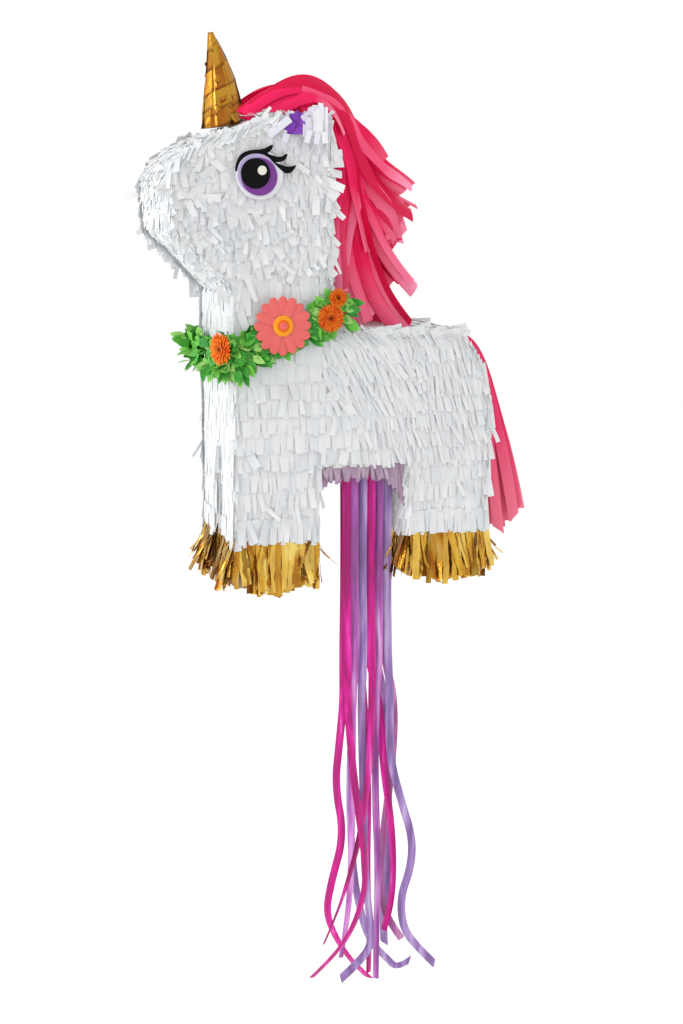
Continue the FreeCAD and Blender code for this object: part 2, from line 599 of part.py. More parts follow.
# ---- mane and tail: plain soft solids ----------------------------------------------------
crown_profile = side_profile("mane_crown_outline", (-34, 1), ((-8, 36), (28, 26)), (42, 12),
                             (42, 1))
left_lobe = extrude("left_lobe", crown_profile, "-mane_half", "mane_half - eyelet_flange - 4")
node(group("mane_lobes", [left_lobe, mirror("right_lobe", left_lobe)]), "mane_crown")
neck_profile = side_profile("mane_neck_outline", (31, 0), (52, 0), ((86, -42), (112, -88)),
                            (126, -160), (118, -193), (43, -193), (43, -152), (31, -148))
node(extrude("mane_fall", neck_profile, "-mane_half", "2 * mane_half"), "mane_neck")
tail_profile = side_profile("tail_outline", (163, -195), (190, -199), ((221, -268), (255, -385)),
                            (232, -412), (206, -404), ((201, -300), (191.5, -240)),
                            ((178.5, -215), (163, -198)))
node(extrude("tail_fall", tail_profile, "-tail_half", "2 * tail_half"), "tail")

# ---- fill flap in the right side panel -----------------------------------------------------
fill_door = block("fill_flap", ("fill_x + gap", "panel_half - card",
                                "fill_hinge_z - fill_height + gap"),
                  ("fill_x + fill_length - gap", "panel_half", "fill_hinge_z - gap"))
node(fill_door, "fill_door")
fill_nap = block("fill_nap", ("fill_x + gap", "panel_half", "fill_hinge_z - fill_height + gap"),
                 ("fill_x + fill_length - gap", "panel_half + side_nap",
                  "fill_hinge_z - fill_nap_drop"))
node(fill_nap, "fill_door_fringe")

# ---- trap flap in the belly, with the tape strip that holds the ribbons ------------------------
trap_door = plate("trap_flap", "trap_x + gap", "trap_near_y + gap", "belly_z",
                  "trap_length - 2 * gap", "trap_hinge_y - trap_near_y - 2 * gap", "card")
node(trap_door, "trap_door")
trap_nap = block("trap_nap", ("trap_x + gap", "trap_near_y + gap + tape_width + 2 * gap",
                              "belly_z - trap_nap"),
                 ("trap_x + trap_length - gap", "trap_hinge_y - gap", "belly_z"))
node(trap_nap, "trap_door_fringe")
ribbon_tape = plate("tape_strip", "trap_x + (trap_length - tape_length) / 2",
                    "trap_near_y + gap", "belly_z - tape_thickness", "tape_length", "tape_width",
                    "tape_thickness")
node(ribbon_tape, "ribbon_tape")


# ---- pull ribbons ----------------------------------------------------------------------------
ARC_SHARE = 0.45


def ribbon_path(name, route):
    """Straight runs joined by tangent arcs, each as large as its two runs allow."""
    points = [FreeCAD.Vector(*p) for p in route]
    edges = []
    radii = []
    here = points[0]
    for before, corner, after in zip(points, points[1:], points[2:]):
        into = (corner - before).normalize()
        out = (after - corner).normalize()
        turn = into.getAngle(out)
        shorter = min(corner.distanceToPoint(before), after.distanceToPoint(corner))
        reach = ARC_SHARE * shorter
        radius = reach / math.tan(turn / 2)
        start = corner - into * reach
        end = corner + out * reach
        bisector = (out - into).normalize()
        centre = corner + bisector * (radius / math.cos(turn / 2))
        middle = centre - bisector * radius
        edges.append(Part.LineSegment(here, start).toShape())
        edges.append(Part.Arc(start, middle, end).toShape())
        radii.append(radius)
        here = end
    edges.append(Part.LineSegment(here, points[-1]).toShape())
    print(f"{name}: length {sum(e.Length for e in edges):.0f}, arc radii",
          " ".join(f"{radius:.0f}" for radius in radii))
    return Part.Wire(edges)


for name, route in RIBBON_ROUTES.items():
    path = ribbon_path(name, route)
    start = FreeCAD.Vector(*route[0])
    heading = FreeCAD.Vector(*route[1]) - start
    section = Part.Wire(Part.makeCircle(size["ribbon_width"] / 2, start, heading))
    ribbon = doc.addObject("Part::Feature", name + "_tube")
    ribbon.Shape = path.makePipeShell([section], True, True)
    expected = math.pi * (size["ribbon_width"] / 2) ** 2 * path.Length
    if abs(ribbon.Shape.Volume / expected - 1) > 0.01:
        raise RuntimeError(f"{name}: volume {ribbon.Shape.Volume:.0f}, expected {expected:.0f}")
    node(ribbon, name)

# ---- checks and files ---------------------------------------------------------------------------
doc.recompute()
for item in doc.Objects:
    if "Invalid" in item.State or "Error" in item.State:
        raise RuntimeError(f"{item.Name} failed: {item.State}")
os.makedirs("parts", exist_ok=True)
for item in nodes:
    shape = item.Shape
    if shape.isNull() or not shape.isValid() or not shape.Solids:
        raise RuntimeError(f"{item.Label} has no valid solid")
    shape.exportStep(f"parts/{item.Label}.step")
    print(f"{item.Label}: {len(shape.Solids)} solids, {shape.Volume / 1000:.1f} cm3")
print(len(nodes), "nodes")
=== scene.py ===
"""Visual model of the pull-string unicorn pinata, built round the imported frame.

Metres, +Z up, nose towards -X.  Every paper strip, leaf, petal and ribbon is its own bent
surface.  The fringe of the shell, legs, hooves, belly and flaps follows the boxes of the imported
nodes; horn, ears, lashes, flowers, mane, tail and ribbons are placed by the numbers below.
"""
import math

import bmesh
import bpy
import numpy as np
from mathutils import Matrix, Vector


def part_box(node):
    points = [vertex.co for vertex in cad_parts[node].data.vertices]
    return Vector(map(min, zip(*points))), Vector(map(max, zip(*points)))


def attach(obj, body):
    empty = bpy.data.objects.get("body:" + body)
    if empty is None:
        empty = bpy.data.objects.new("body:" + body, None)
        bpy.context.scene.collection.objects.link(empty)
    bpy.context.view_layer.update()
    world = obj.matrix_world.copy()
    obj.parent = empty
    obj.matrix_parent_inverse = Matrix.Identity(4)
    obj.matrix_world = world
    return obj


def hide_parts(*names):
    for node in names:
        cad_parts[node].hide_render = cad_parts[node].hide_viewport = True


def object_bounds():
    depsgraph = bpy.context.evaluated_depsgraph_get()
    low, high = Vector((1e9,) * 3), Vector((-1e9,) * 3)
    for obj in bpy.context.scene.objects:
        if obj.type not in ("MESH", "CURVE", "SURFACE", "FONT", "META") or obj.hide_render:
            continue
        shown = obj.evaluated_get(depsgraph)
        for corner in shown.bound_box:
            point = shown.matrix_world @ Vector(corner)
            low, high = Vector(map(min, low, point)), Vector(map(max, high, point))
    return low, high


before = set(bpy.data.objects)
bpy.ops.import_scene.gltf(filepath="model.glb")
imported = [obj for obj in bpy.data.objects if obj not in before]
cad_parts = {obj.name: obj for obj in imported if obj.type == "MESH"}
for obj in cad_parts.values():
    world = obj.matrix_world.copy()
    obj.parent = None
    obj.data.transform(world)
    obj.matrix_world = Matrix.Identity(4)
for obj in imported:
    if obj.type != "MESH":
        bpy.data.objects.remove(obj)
cad_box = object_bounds()
rng = np.random.default_rng(7)
MM = 0.001
LEFT, RIGHT = -1.0, 1.0
SIDES = (("left", LEFT), ("right", RIGHT))
DOWN = np.array([0, 0, -1.0])
UP = np.array([0, 0, 1.0])

# ---- places read from the frame --------------------------------------------------------------
panel_low, panel_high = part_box("left_side_panel")
CHEST_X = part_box("chest_strip")[0][0]
BELLY_Z = panel_low[2]
CROWN_Z = panel_high[2]
RUMP_X = panel_high[0]
NOSE_X = panel_low[0]
PANEL_Y = -panel_low[1]
NAPE_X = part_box("nape_strip")[1][0]
BACK_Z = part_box("back_strip")[1][2]
RUMP_START_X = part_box("back_strip")[1][0]
CHIN_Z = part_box("head_strip")[0][2]
THROAT_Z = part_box("chest_strip")[1][2]
WHITE_END_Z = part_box("leg_fringes")[0][2]
FOIL_END_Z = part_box("front_left_hoof_foil")[0][2]

# The rump rounds over from the back to the rear face on this arc, as (x, z).
RUMP_MIDDLE = (0.0943, -0.2742)
RUMP_RADIUS = RUMP_X - RUMP_MIDDLE[0]
RUMP_CURVE = [(RUMP_MIDDLE[0] + RUMP_RADIUS * math.cos(math.radians(turn)),
               RUMP_MIDDLE[1] + RUMP_RADIUS * math.sin(math.radians(turn)))
              for turn in (40, 30, 20, 10, 0)]
# Side outline of the card shell, clockwise from the chest, as (x, z).
OUTLINE = [
    (CHEST_X, BELLY_Z), (CHEST_X, THROAT_Z), (-0.103, -0.117), (-0.113, -0.109),
    (-0.118, CHIN_Z), (NOSE_X, -0.066), (-0.115, -0.051), (-0.103, -0.040), (-0.084, -0.027),
    (-0.050, -0.018), (-0.028, CROWN_Z), (NAPE_X, CROWN_Z), (NAPE_X, BACK_Z),
    (RUMP_START_X, BACK_Z), *RUMP_CURVE, (RUMP_X, BELLY_Z),
]


# ---- materials -------------------------------------------------------------------------------
def new_material(name):
    mat = bpy.data.materials.new(name)
    mat.use_nodes = True
    return mat, mat.node_tree, mat.node_tree.nodes["Principled BSDF"]


def noise(tree, scale, detail=3.0, stretch=(1, 1, 1)):
    """Noise texture in metres; returns its factor socket."""
    coord = tree.nodes.new("ShaderNodeTexCoord")
    mapping = tree.nodes.new("ShaderNodeMapping")
    mapping.inputs["Scale"].default_value = stretch
    texture = tree.nodes.new("ShaderNodeTexNoise")
    texture.inputs["Scale"].default_value = scale
    texture.inputs["Detail"].default_value = detail
    tree.links.new(coord.outputs["Object"], mapping.inputs["Vector"])
    tree.links.new(mapping.outputs["Vector"], texture.inputs["Vector"])
    return texture.outputs["Fac"]


def per_piece(tree):
    """A random number for each separate strip of a mesh."""
    return tree.nodes.new("ShaderNodeNewGeometry").outputs["Random Per Island"]


def along_piece(tree):
    """How far down its strip a point lies, 0 at the glued end and 1 at the free end."""
    node = tree.nodes.new("ShaderNodeAttribute")
    node.attribute_name = "share"
    return node.outputs["Fac"]


def ramp(tree, factor, stops):
    node = tree.nodes.new("ShaderNodeValToRGB")
    elements = node.color_ramp.elements
    while len(elements) < len(stops):
        elements.new(0.5)
    for element, (position, colour) in zip(elements, stops):
        element.position = position
        element.color = (*colour, 1.0)
    tree.links.new(factor, node.inputs["Fac"])
    return node.outputs["Color"]


def blend_colour(tree, factor, first, second):
    node = tree.nodes.new("ShaderNodeMix")
    node.data_type = "RGBA"
    for socket, value in ((node.inputs["Factor"], factor), (node.inputs["A"], first),
                          (node.inputs["B"], second)):
        if isinstance(value, (int, float)):
            socket.default_value = value
        elif isinstance(value, tuple):
            socket.default_value = (*value, 1.0)
        else:
            tree.links.new(value, socket)
    return node.outputs["Result"]


def multiply(tree, first, second):
    node = tree.nodes.new("ShaderNodeMath")
    node.operation = "MULTIPLY"
    for socket, value in zip(node.inputs, (first, second)):
        if isinstance(value, (int, float)):
            socket.default_value = value
        else:
            tree.links.new(value, socket)
    return node.outputs[0]


def bump(tree, bsdf, height, strength, distance):
    node = tree.nodes.new("ShaderNodeBump")
    node.inputs["Strength"].default_value = strength
    node.inputs["Distance"].default_value = distance
    tree.links.new(height, node.inputs["Height"])
    tree.links.new(node.outputs["Normal"], bsdf.inputs["Normal"])


def paper_material(name, stops, roughness=0.75, specular=0.25, crease=0.35, grain=420,
                   crinkle=120, root_shade=1.0, tip=None, painted_glow=0.0):
    """Paper whose colour varies from strip to strip, with fine crinkles.

    The root shade is painted shade that darkens the glued end, where layers overlap; tip is the colour
    that the free ends fade to, painted light through the thin ends of the pink crepe and painted shade
    on the hanging skirt; the glow is emission, painted light that makes the paper glow faintly in place
    of light passing through its thin layers.
    """
    mat, tree, bsdf = new_material(name)
    tint = ramp(tree, per_piece(tree), stops)
    cloud = noise(tree, crinkle, 4.0)
    colour = blend_colour(tree, multiply(tree, cloud, 0.35), tint, stops[0][1])
    # Painted shade: each strip is darker towards its glued end.
    if root_shade < 1:
        shade = ramp(tree, along_piece(tree), [(0.2, (root_shade,) * 3), (0.85, (1, 1, 1))])
        darker = tree.nodes.new("ShaderNodeMix")
        darker.data_type = "RGBA"
        darker.blend_type = "MULTIPLY"
        darker.inputs["Factor"].default_value = 1.0
        tree.links.new(colour, darker.inputs["A"])
        tree.links.new(shade, darker.inputs["B"])
        colour = darker.outputs["Result"]
    # The free ends fade to the tip colour: painted light through the thin ends of the pink crepe,
    # painted shade on the skirt.
    if tip:
        fade = ramp(tree, along_piece(tree), [(0.72, (0, 0, 0)), (1.0, (1, 1, 1))])
        colour = blend_colour(tree, multiply(tree, fade, multiply(tree, per_piece(tree), 0.9)),
                              colour, tip)
    tree.links.new(colour, bsdf.inputs["Base Color"])
    # Painted light: a faint emission in the paper's own colour makes it glow a little, in place of light
    # passing through the thin layers into the gaps.
    bsdf.inputs["Emission Color"].default_value = (*stops[1][1], 1)
    bsdf.inputs["Emission Strength"].default_value = painted_glow
    bsdf.inputs["Roughness"].default_value = roughness
    bsdf.inputs["Specular IOR Level"].default_value = specular
    bump(tree, bsdf, noise(tree, grain, 5.0), crease, 0.0006)
    return mat


def card_material(name, colour, roughness=0.6, specular=0.25):
    """Smooth printed card with a faint mottle."""
    mat, tree, bsdf = new_material(name)
    darker = tuple(c * 0.86 for c in colour)
    tree.links.new(blend_colour(tree, noise(tree, 260, 4.0), colour, darker),
                   bsdf.inputs["Base Color"])
    bsdf.inputs["Roughness"].default_value = roughness
    bsdf.inputs["Specular IOR Level"].default_value = specular
    bump(tree, bsdf, noise(tree, 900, 4.0), 0.12, 0.0003)
    return mat


def corrugated_material():
    """Brown card: fibres, and the faint ribs of the flutes underneath."""
    mat, tree, bsdf = new_material("corrugated_card")
    fibres = noise(tree, 300, 6.0, stretch=(1, 1, 4))
    tree.links.new(ramp(tree, fibres, [(0.3, (0.40, 0.27, 0.15)), (0.7, (0.58, 0.42, 0.26))]),
                   bsdf.inputs["Base Color"])
    bsdf.inputs["Roughness"].default_value = 0.85
    coord = tree.nodes.new("ShaderNodeTexCoord")
    wave = tree.nodes.new("ShaderNodeTexWave")
    wave.inputs["Scale"].default_value = 60
    wave.inputs["Distortion"].default_value = 0.3
    tree.links.new(coord.outputs["Object"], wave.inputs["Vector"])
    bump(tree, bsdf, wave.outputs["Fac"], 0.3, 0.0008)
    return mat


def foil_material(name, painted_shine_and_shade, reflection_tints, scale=95, lap_shade=None, roughness=0.22):
    """Metallised film with sharp crinkles, its colour painted light and shade: a noise ramp paints dark
    reflections in the folds and bright highlights, the per-strip tints paint strips that catch or miss
    the light, and the lap colour paints shade along the laps.
    """
    mat, tree, bsdf = new_material(name)
    # Painted reflections: the noise ramp gives dark streaks in the folds and bright highlights, and the
    # per-strip tints run from near black to bright for strips that miss or catch the light.
    painted_reflections = ramp(tree, noise(tree, scale, 3.0, stretch=(1, 1, 0.35)), painted_shine_and_shade)
    tint = ramp(tree, per_piece(tree), reflection_tints)
    colour = blend_colour(tree, 0.60, painted_reflections, tint)
    if lap_shade:
        # Painted shade along both edges of each wound piece, where one winding laps over the next.
        edge = ramp(tree, along_piece(tree), [(0.0, (1, 1, 1)), (0.16, (0, 0, 0)),
                                              (0.88, (0, 0, 0)), (1.0, (0.8, 0.8, 0.8))])
        colour = blend_colour(tree, multiply(tree, edge, 0.75), colour, lap_shade)
    tree.links.new(colour, bsdf.inputs["Base Color"])
    bsdf.inputs["Metallic"].default_value = 0.85
    bsdf.inputs["Roughness"].default_value = roughness
    bump(tree, bsdf, noise(tree, 240, 4.0), 0.55, 0.0012)
    return mat


def satin_material(name, colour, light):
    """Satin ribbon: fine warp lines, and painted lengthwise shine and shade."""
    mat, tree, bsdf = new_material(name)
    # Painted shine and shade: long streaks along the ribbon run from a darker painted shade through the
    # ribbon's colour to painted highlights.
    painted_shine_and_shade = noise(tree, 150, 2.0, stretch=(1, 1, 0.09))
    painted_shade_tone = tuple(0.62 * c for c in colour)
    shine = tuple(0.3 + 0.7 * c for c in light)
    tree.links.new(ramp(tree, painted_shine_and_shade, [(0.34, painted_shade_tone), (0.50, colour), (0.64, light), (0.78, shine)]),
                   bsdf.inputs["Base Color"])
    bsdf.inputs["Roughness"].default_value = 0.34
    bsdf.inputs["Specular IOR Level"].default_value = 0.35
    bump(tree, bsdf, noise(tree, 1400, 2.0, stretch=(1, 1, 0.08)), 0.25, 0.0003)
    return mat


def plain_metal():
    mat, tree, bsdf = new_material("pressed_steel")
    bsdf.inputs["Metallic"].default_value = 1.0
    tree.links.new(ramp(tree, noise(tree, 500), [(0.3, (0.50, 0.50, 0.50)), (0.7, (0.68, 0.67, 0.66))]),
                   bsdf.inputs["Base Color"])
    bsdf.inputs["Roughness"].default_value = 0.3
    return mat


def tape_material():
    mat, tree, bsdf = new_material("tape")
    tree.links.new(blend_colour(tree, noise(tree, 200), (0.78, 0.70, 0.55), (0.86, 0.80, 0.68)),
                   bsdf.inputs["Base Color"])
    bsdf.inputs["Roughness"].default_value = 0.2
    return mat


# White tissue: random tones per strip, a faint painted shade at the glued ends and a faint painted glow.
WHITE = paper_material("white_tissue", [(0.0, (0.60, 0.615, 0.63)), (0.35, (0.65, 0.66, 0.67)),
                                        (1.0, (0.71, 0.715, 0.72))], crease=0.10, root_shade=0.98,
                       painted_glow=0.10)
# The belly skirt and the strips under the trap flap are white tissue; their mauve colour is painted
# shade under the belly with painted pink light from the ribbons, and their free ends fade to a darker
# painted shade.
SHADED_SKIRT = paper_material("skirt_painted_shade", [(0.0, (0.38, 0.26, 0.36)), (0.5, (0.46, 0.34, 0.43)),
                                         (1.0, (0.56, 0.45, 0.54))], tip=(0.32, 0.17, 0.29))
# Pink crepe: random tones per strip; the free ends fade to pale pink, painted light through the thin
# ends, and a faint painted glow.
PINK = paper_material("pink_crepe", [(0.0, (0.58, 0.002, 0.045)), (0.25, (0.74, 0.005, 0.08)),
                                     (0.70, (0.80, 0.010, 0.11)), (1.0, (0.86, 0.10, 0.22))],
                      roughness=0.5, specular=0.2, crease=0.5, grain=320, crinkle=50,
                      tip=(0.90, 0.36, 0.52), painted_glow=0.10)
CORAL = paper_material("coral_crepe", [(0.0, (0.68, 0.006, 0.07)), (0.4, (0.76, 0.02, 0.12)),
                                       (1.0, (0.82, 0.06, 0.18))],
                       roughness=0.55, specular=0.2, crease=0.45, grain=400,
                       tip=(0.86, 0.28, 0.36))
GREEN = paper_material("green_paper", [(0.0, (0.012, 0.20, 0.02)), (0.35, (0.05, 0.38, 0.03)),
                                       (0.75, (0.17, 0.55, 0.06)), (1.0, (0.40, 0.70, 0.18))],
                       roughness=0.45, specular=0.35, tip=(0.34, 0.66, 0.16))
PURPLE = paper_material("purple_tissue", [(0.0, (0.14, 0.03, 0.30)), (1.0, (0.30, 0.10, 0.52))],
                        specular=0.1)
# Hoof foil: painted dark reflections, painted highlights and per-strip painted tints.
GOLD = foil_material("gold_foil", [(0.30, (0.16, 0.035, 0.003)), (0.42, (0.50, 0.20, 0.015)),
                                   (0.54, (0.74, 0.45, 0.05)), (0.72, (0.92, 0.74, 0.26))],
                     [(0.0, (0.07, 0.012, 0.001)), (0.18, (0.36, 0.12, 0.01)),
                      (0.45, (0.66, 0.37, 0.04)), (1.0, (0.88, 0.66, 0.17))])
# Horn foil: painted reflections and highlights, with painted shade along the laps of the winding.
HORN_FOIL = foil_material("horn_foil", [(0.32, (0.16, 0.03, 0.004)), (0.44, (0.40, 0.12, 0.01)),
                                        (0.55, (0.50, 0.24, 0.02)), (0.80, (0.62, 0.38, 0.07))],
                          [(0.0, (0.26, 0.035, 0.006)), (0.30, (0.40, 0.12, 0.01)),
                           (0.5, (0.48, 0.24, 0.02)), (1.0, (0.56, 0.33, 0.05))], scale=90,
                          lap_shade=(0.10, 0.016, 0.003), roughness=0.36)
CARD = corrugated_material()
BLACK_CARD = card_material("black_card", (0.006, 0.006, 0.007), 0.6, 0.06)
WHITE_CARD = card_material("white_card", (0.80, 0.77, 0.84))
PUPIL_LIGHT = card_material("warm_white_card", (0.78, 0.76, 0.66))
LILAC_CARD = card_material("lilac_card", (0.50, 0.42, 0.66), 0.6, 0.1)
PURPLE_CARD = card_material("purple_card", (0.20, 0.055, 0.28), 0.6, 0.1)
CORAL_CARD = card_material("coral_card", (0.80, 0.15, 0.14), 0.6, 0.15)
ORANGE_CARD = card_material("orange_card", (0.92, 0.34, 0.02), 0.6, 0.15)
DEEP_ORANGE = paper_material("orange_paper", [(0.0, (0.72, 0.09, 0.004)), (1.0, (0.80, 0.18, 0.01))],
                             specular=0.1)
# Ear tissue glows faintly: painted light.
EAR_TISSUE = paper_material("ear_tissue", [(0.0, (0.54, 0.49, 0.60)), (0.3, (0.62, 0.61, 0.66)),
                                           (1.0, (0.70, 0.705, 0.72))], crease=0.10, painted_glow=0.08)
# Gerbera petals: painted shade towards the centre, where the rings of petals overlap.
GERBERA = paper_material("gerbera_paper", [(0.0, (0.70, 0.07, 0.005)), (1.0, (0.86, 0.20, 0.015))],
                         specular=0.1, root_shade=0.55, tip=(0.90, 0.36, 0.05))
FLOWER_HEART = card_material("dark_heart_card", (0.10, 0.015, 0.01), 0.7, 0.1)
SATIN = {
    "magenta": satin_material("satin_magenta", (0.56, 0.003, 0.23), (0.74, 0.02, 0.38)),
    "orchid": satin_material("satin_orchid", (0.42, 0.10, 0.42), (0.62, 0.26, 0.62)),
    "lilac": satin_material("satin_lilac", (0.30, 0.17, 0.44), (0.46, 0.31, 0.60)),
    "purple": satin_material("satin_purple", (0.44, 0.12, 0.34), (0.70, 0.32, 0.54)),
}
METAL = plain_metal()
TAPE = tape_material()


# ---- sheet meshes ----------------------------------------------------------------------------
class Sheets:
    """Collects grids of points, each one bent sheet, into one mesh."""

    def __init__(self):
        self.points = []
        self.faces = []
        self.shares = []
        self.count = 0

    def add(self, grids):
        """grids has the shape (sheets, rows, columns, 3)."""
        grids = np.asarray(grids, dtype=float)
        sheets, rows, columns, _ = grids.shape
        index = np.arange(rows * columns).reshape(rows, columns)
        quads = np.stack([index[:-1, :-1], index[:-1, 1:], index[1:, 1:], index[1:, :-1]], axis=-1)
        quads = quads.reshape(1, -1, 4) + (np.arange(sheets) * rows * columns)[:, None, None]
        self.points.append(grids.reshape(-1, 3))
        self.faces.append(quads.reshape(-1, 4) + self.count)
        share = np.linspace(0, 1, rows)[None, :, None]
        self.shares.append(np.broadcast_to(share, grids.shape[:3]).ravel())
        self.count += sheets * rows * columns
        return self

    def add_faces(self, points, faces):
        """Plain faces with four corners each."""
        self.points.append(np.asarray(points, dtype=float))
        self.faces.append(np.asarray(faces) + self.count)
        self.shares.append(np.zeros(len(points)))
        self.count += len(points)

    def build(self, name, material, slot, body="shell", replaces=()):
        mesh = bpy.data.meshes.new(name)
        points = np.concatenate(self.points)
        faces = np.concatenate(self.faces)
        mesh.from_pydata(points.tolist(), [], faces.tolist())
        attribute = mesh.attributes.new("share", "FLOAT", "POINT")
        attribute.data.foreach_set("value", np.concatenate(self.shares))
        mesh.shade_smooth()
        return finish_piece(mesh, name, material, body, replaces)


def finish_piece(mesh, name, material, body, replaces):
    mesh.materials.append(material)
    piece = bpy.data.objects.new(name, mesh)
    bpy.context.collection.objects.link(piece)
    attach(piece, body)
    if replaces:
        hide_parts(*replaces)
    return piece


def unit(vectors):
    vectors = np.asarray(vectors, dtype=float)
    return vectors / np.maximum(np.linalg.norm(vectors, axis=-1, keepdims=True), 1e-12)


def strips(base, down, out, width, length, lean, curl, roll, cup=0.06, taper=0.0, rows=5):
    """Bent strips hanging from base points.

    lean is the angle at which a strip leaves its surface, curl how much that angle changes to
    its end, roll its twist about its length, cup the hollow across it; angles in radians.
    """
    base = np.asarray(base, dtype=float)
    amount = len(base)

    def spread(value):
        return np.broadcast_to(np.asarray(value, dtype=float), (amount,))

    down = unit(np.broadcast_to(down, base.shape))
    out = np.broadcast_to(out, base.shape)
    out = unit(out - down * np.sum(out * down, axis=1, keepdims=True))
    side = np.cross(down, out)
    width, length, lean, curl, roll = map(spread, (width, length, lean, curl, roll))
    cup, taper = spread(cup), spread(taper)
    grids = np.zeros((amount, rows, 3, 3))
    here = base.copy()
    step = (length / (rows - 1))[:, None]
    for row in range(rows):
        share = row / (rows - 1)
        angle = (lean + curl * share)[:, None]
        turn = (roll * share)[:, None]
        along = down * np.cos(angle) + out * np.sin(angle)
        normal = out * np.cos(angle) - down * np.sin(angle)
        across = side * np.cos(turn) + normal * np.sin(turn)
        half = (width / 2 * (1 - taper * share))[:, None]
        grids[:, row, 0] = here - across * half
        grids[:, row, 1] = here + normal * (cup * width)[:, None] * (0.4 + 0.6 * share)
        grids[:, row, 2] = here + across * half
        here = here + along * step
    return grids


def turned(down, out, angle):
    """Directions down, each turned about out by an angle."""
    side = np.cross(down, out)
    angle = np.asarray(angle)[:, None]
    return down * np.cos(angle) + side * np.sin(angle)


def draw_between(low, high, amount):
    return rng.uniform(low, high, amount)


def smooth_path(points, order, steps):
    """Points read from the smooth open NURBS curve that a few control points give."""
    curve = bpy.data.curves.new("path", "CURVE")
    curve.dimensions = "3D"
    spline = curve.splines.new("NURBS")
    spline.points.add(len(points) - 1)
    for point, place in zip(spline.points, points):
        point.co = (*place, 1.0)
    spline.order_u = min(order, len(points))
    spline.use_endpoint_u = True
    spline.resolution_u = steps
    holder = bpy.data.objects.new("path", curve)
    mesh = bpy.data.meshes.new_from_object(holder)
    line = np.array([vertex.co for vertex in mesh.vertices])
    bpy.data.objects.remove(holder)
    bpy.data.curves.remove(curve)
    bpy.data.meshes.remove(mesh)
    return line


def path_sheet(points, width, face, roll, cup, wave, end_cut):
    """One long sheet along points, its broad side turned towards face, as a grid."""
    columns = 7
    points = np.asarray(points)
    rows = len(points)
    tangent = unit(np.gradient(points, axis=0))
    face = unit(np.asarray(face, dtype=float) - tangent * (tangent @ np.asarray(face))[:, None])
    side = np.cross(tangent, face)
    share = np.linspace(0, 1, rows)
    turn = (roll[0] + (roll[1] - roll[0]) * share)[:, None]
    across = side * np.cos(turn) + face * np.sin(turn)
    normal = face * np.cos(turn) - side * np.sin(turn)
    grid = np.zeros((rows, columns, 3))
    ripple = rng.uniform(0, 2 * math.pi, 2)
    for column in range(columns):
        u = 2 * column / (columns - 1) - 1
        arch = cup * width * (1 - u * u)
        wobble = wave * width * np.sin(9 * share + ripple[0] + 1.6 * u) * (0.3 + share)
        wobble += 0.5 * wave * width * np.sin(23 * share + ripple[1] - 2.1 * u)
        grid[:, column] = points + across * (u * width / 2) + normal * (arch + wobble)[:, None]
        grid[-1, column] += tangent[-1] * end_cut * width * u
    return grid[None]


# ---- camera, light, floor and backdrop -------------------------------------------------------
def aim(holder, place, target):
    holder.location = place
    holder.rotation_euler = (Vector(target) - Vector(place)).to_track_quat("-Z", "Y").to_euler()


# The camera stands on the left side, turned 18 degrees to the front, and looks down a little.
CAMERA_TURN = math.radians(-18)
CAMERA_DISTANCE, CAMERA_Z, LENS_MM = 1.55, -0.08, 56.2
LOOK_AT = (0.06, 0, -0.382)
LIGHT_TARGET = (0.03, 0, -0.25)
FLOOR_GAP, FLOOR_REACH = 0.06, 6.0


def add_camera():
    camera = bpy.data.objects.new("camera", bpy.data.cameras.new("camera"))
    bpy.context.collection.objects.link(camera)
    aim(camera, (LOOK_AT[0] + CAMERA_DISTANCE * math.sin(CAMERA_TURN),
                 -CAMERA_DISTANCE * math.cos(CAMERA_TURN), CAMERA_Z), LOOK_AT)
    camera.data.lens = LENS_MM
    camera.data.clip_start = 0.05
    bpy.context.scene.camera = camera


def add_area_light(name, place, target, width, power, colour=(1, 1, 1)):
    light = bpy.data.lights.new(name, "AREA")
    light.size = width
    light.energy = power
    light.color = colour
    holder = bpy.data.objects.new(name, light)
    bpy.context.collection.objects.link(holder)
    aim(holder, place, target)


def add_surroundings():
    world = bpy.data.worlds.new("studio")
    world.use_nodes = True
    background = world.node_tree.nodes["Background"]
    background.inputs["Color"].default_value = (1.0, 1.0, 1.0, 1)
    background.inputs["Strength"].default_value = 1.01
    bpy.context.scene.world = world
    bpy.context.scene.view_settings.view_transform = "Standard"
    add_area_light("key", (-1.9, -0.35, 0.35), LIGHT_TARGET, 0.9, 17, (0.98, 0.99, 1.0))
    add_area_light("back", (0.6, 1.8, 0.8), LIGHT_TARGET, 1.2, 3)
    floor_z = cad_box[0][2] - FLOOR_GAP
    corners = ((-1, -1), (1, -1), (1, 1), (-1, 1))
    mesh = bpy.data.meshes.new("floor")
    mesh.from_pydata([(x * FLOOR_REACH, y * FLOOR_REACH, floor_z) for x, y in corners], [],
                     [(0, 1, 2, 3)])
    mat, _, bsdf = new_material("pale_floor")
    bsdf.inputs["Base Color"].default_value = (0.99, 0.99, 0.99, 1)
    bsdf.inputs["Roughness"].default_value = 0.9
    mesh.materials.append(mat)
    floor = bpy.data.objects.new("floor", mesh)
    bpy.context.collection.objects.link(floor)


add_camera()
add_surroundings()


# ---- pull ribbons ----------------------------------------------------------------------------
RIBBON_WIDTH = 0.008
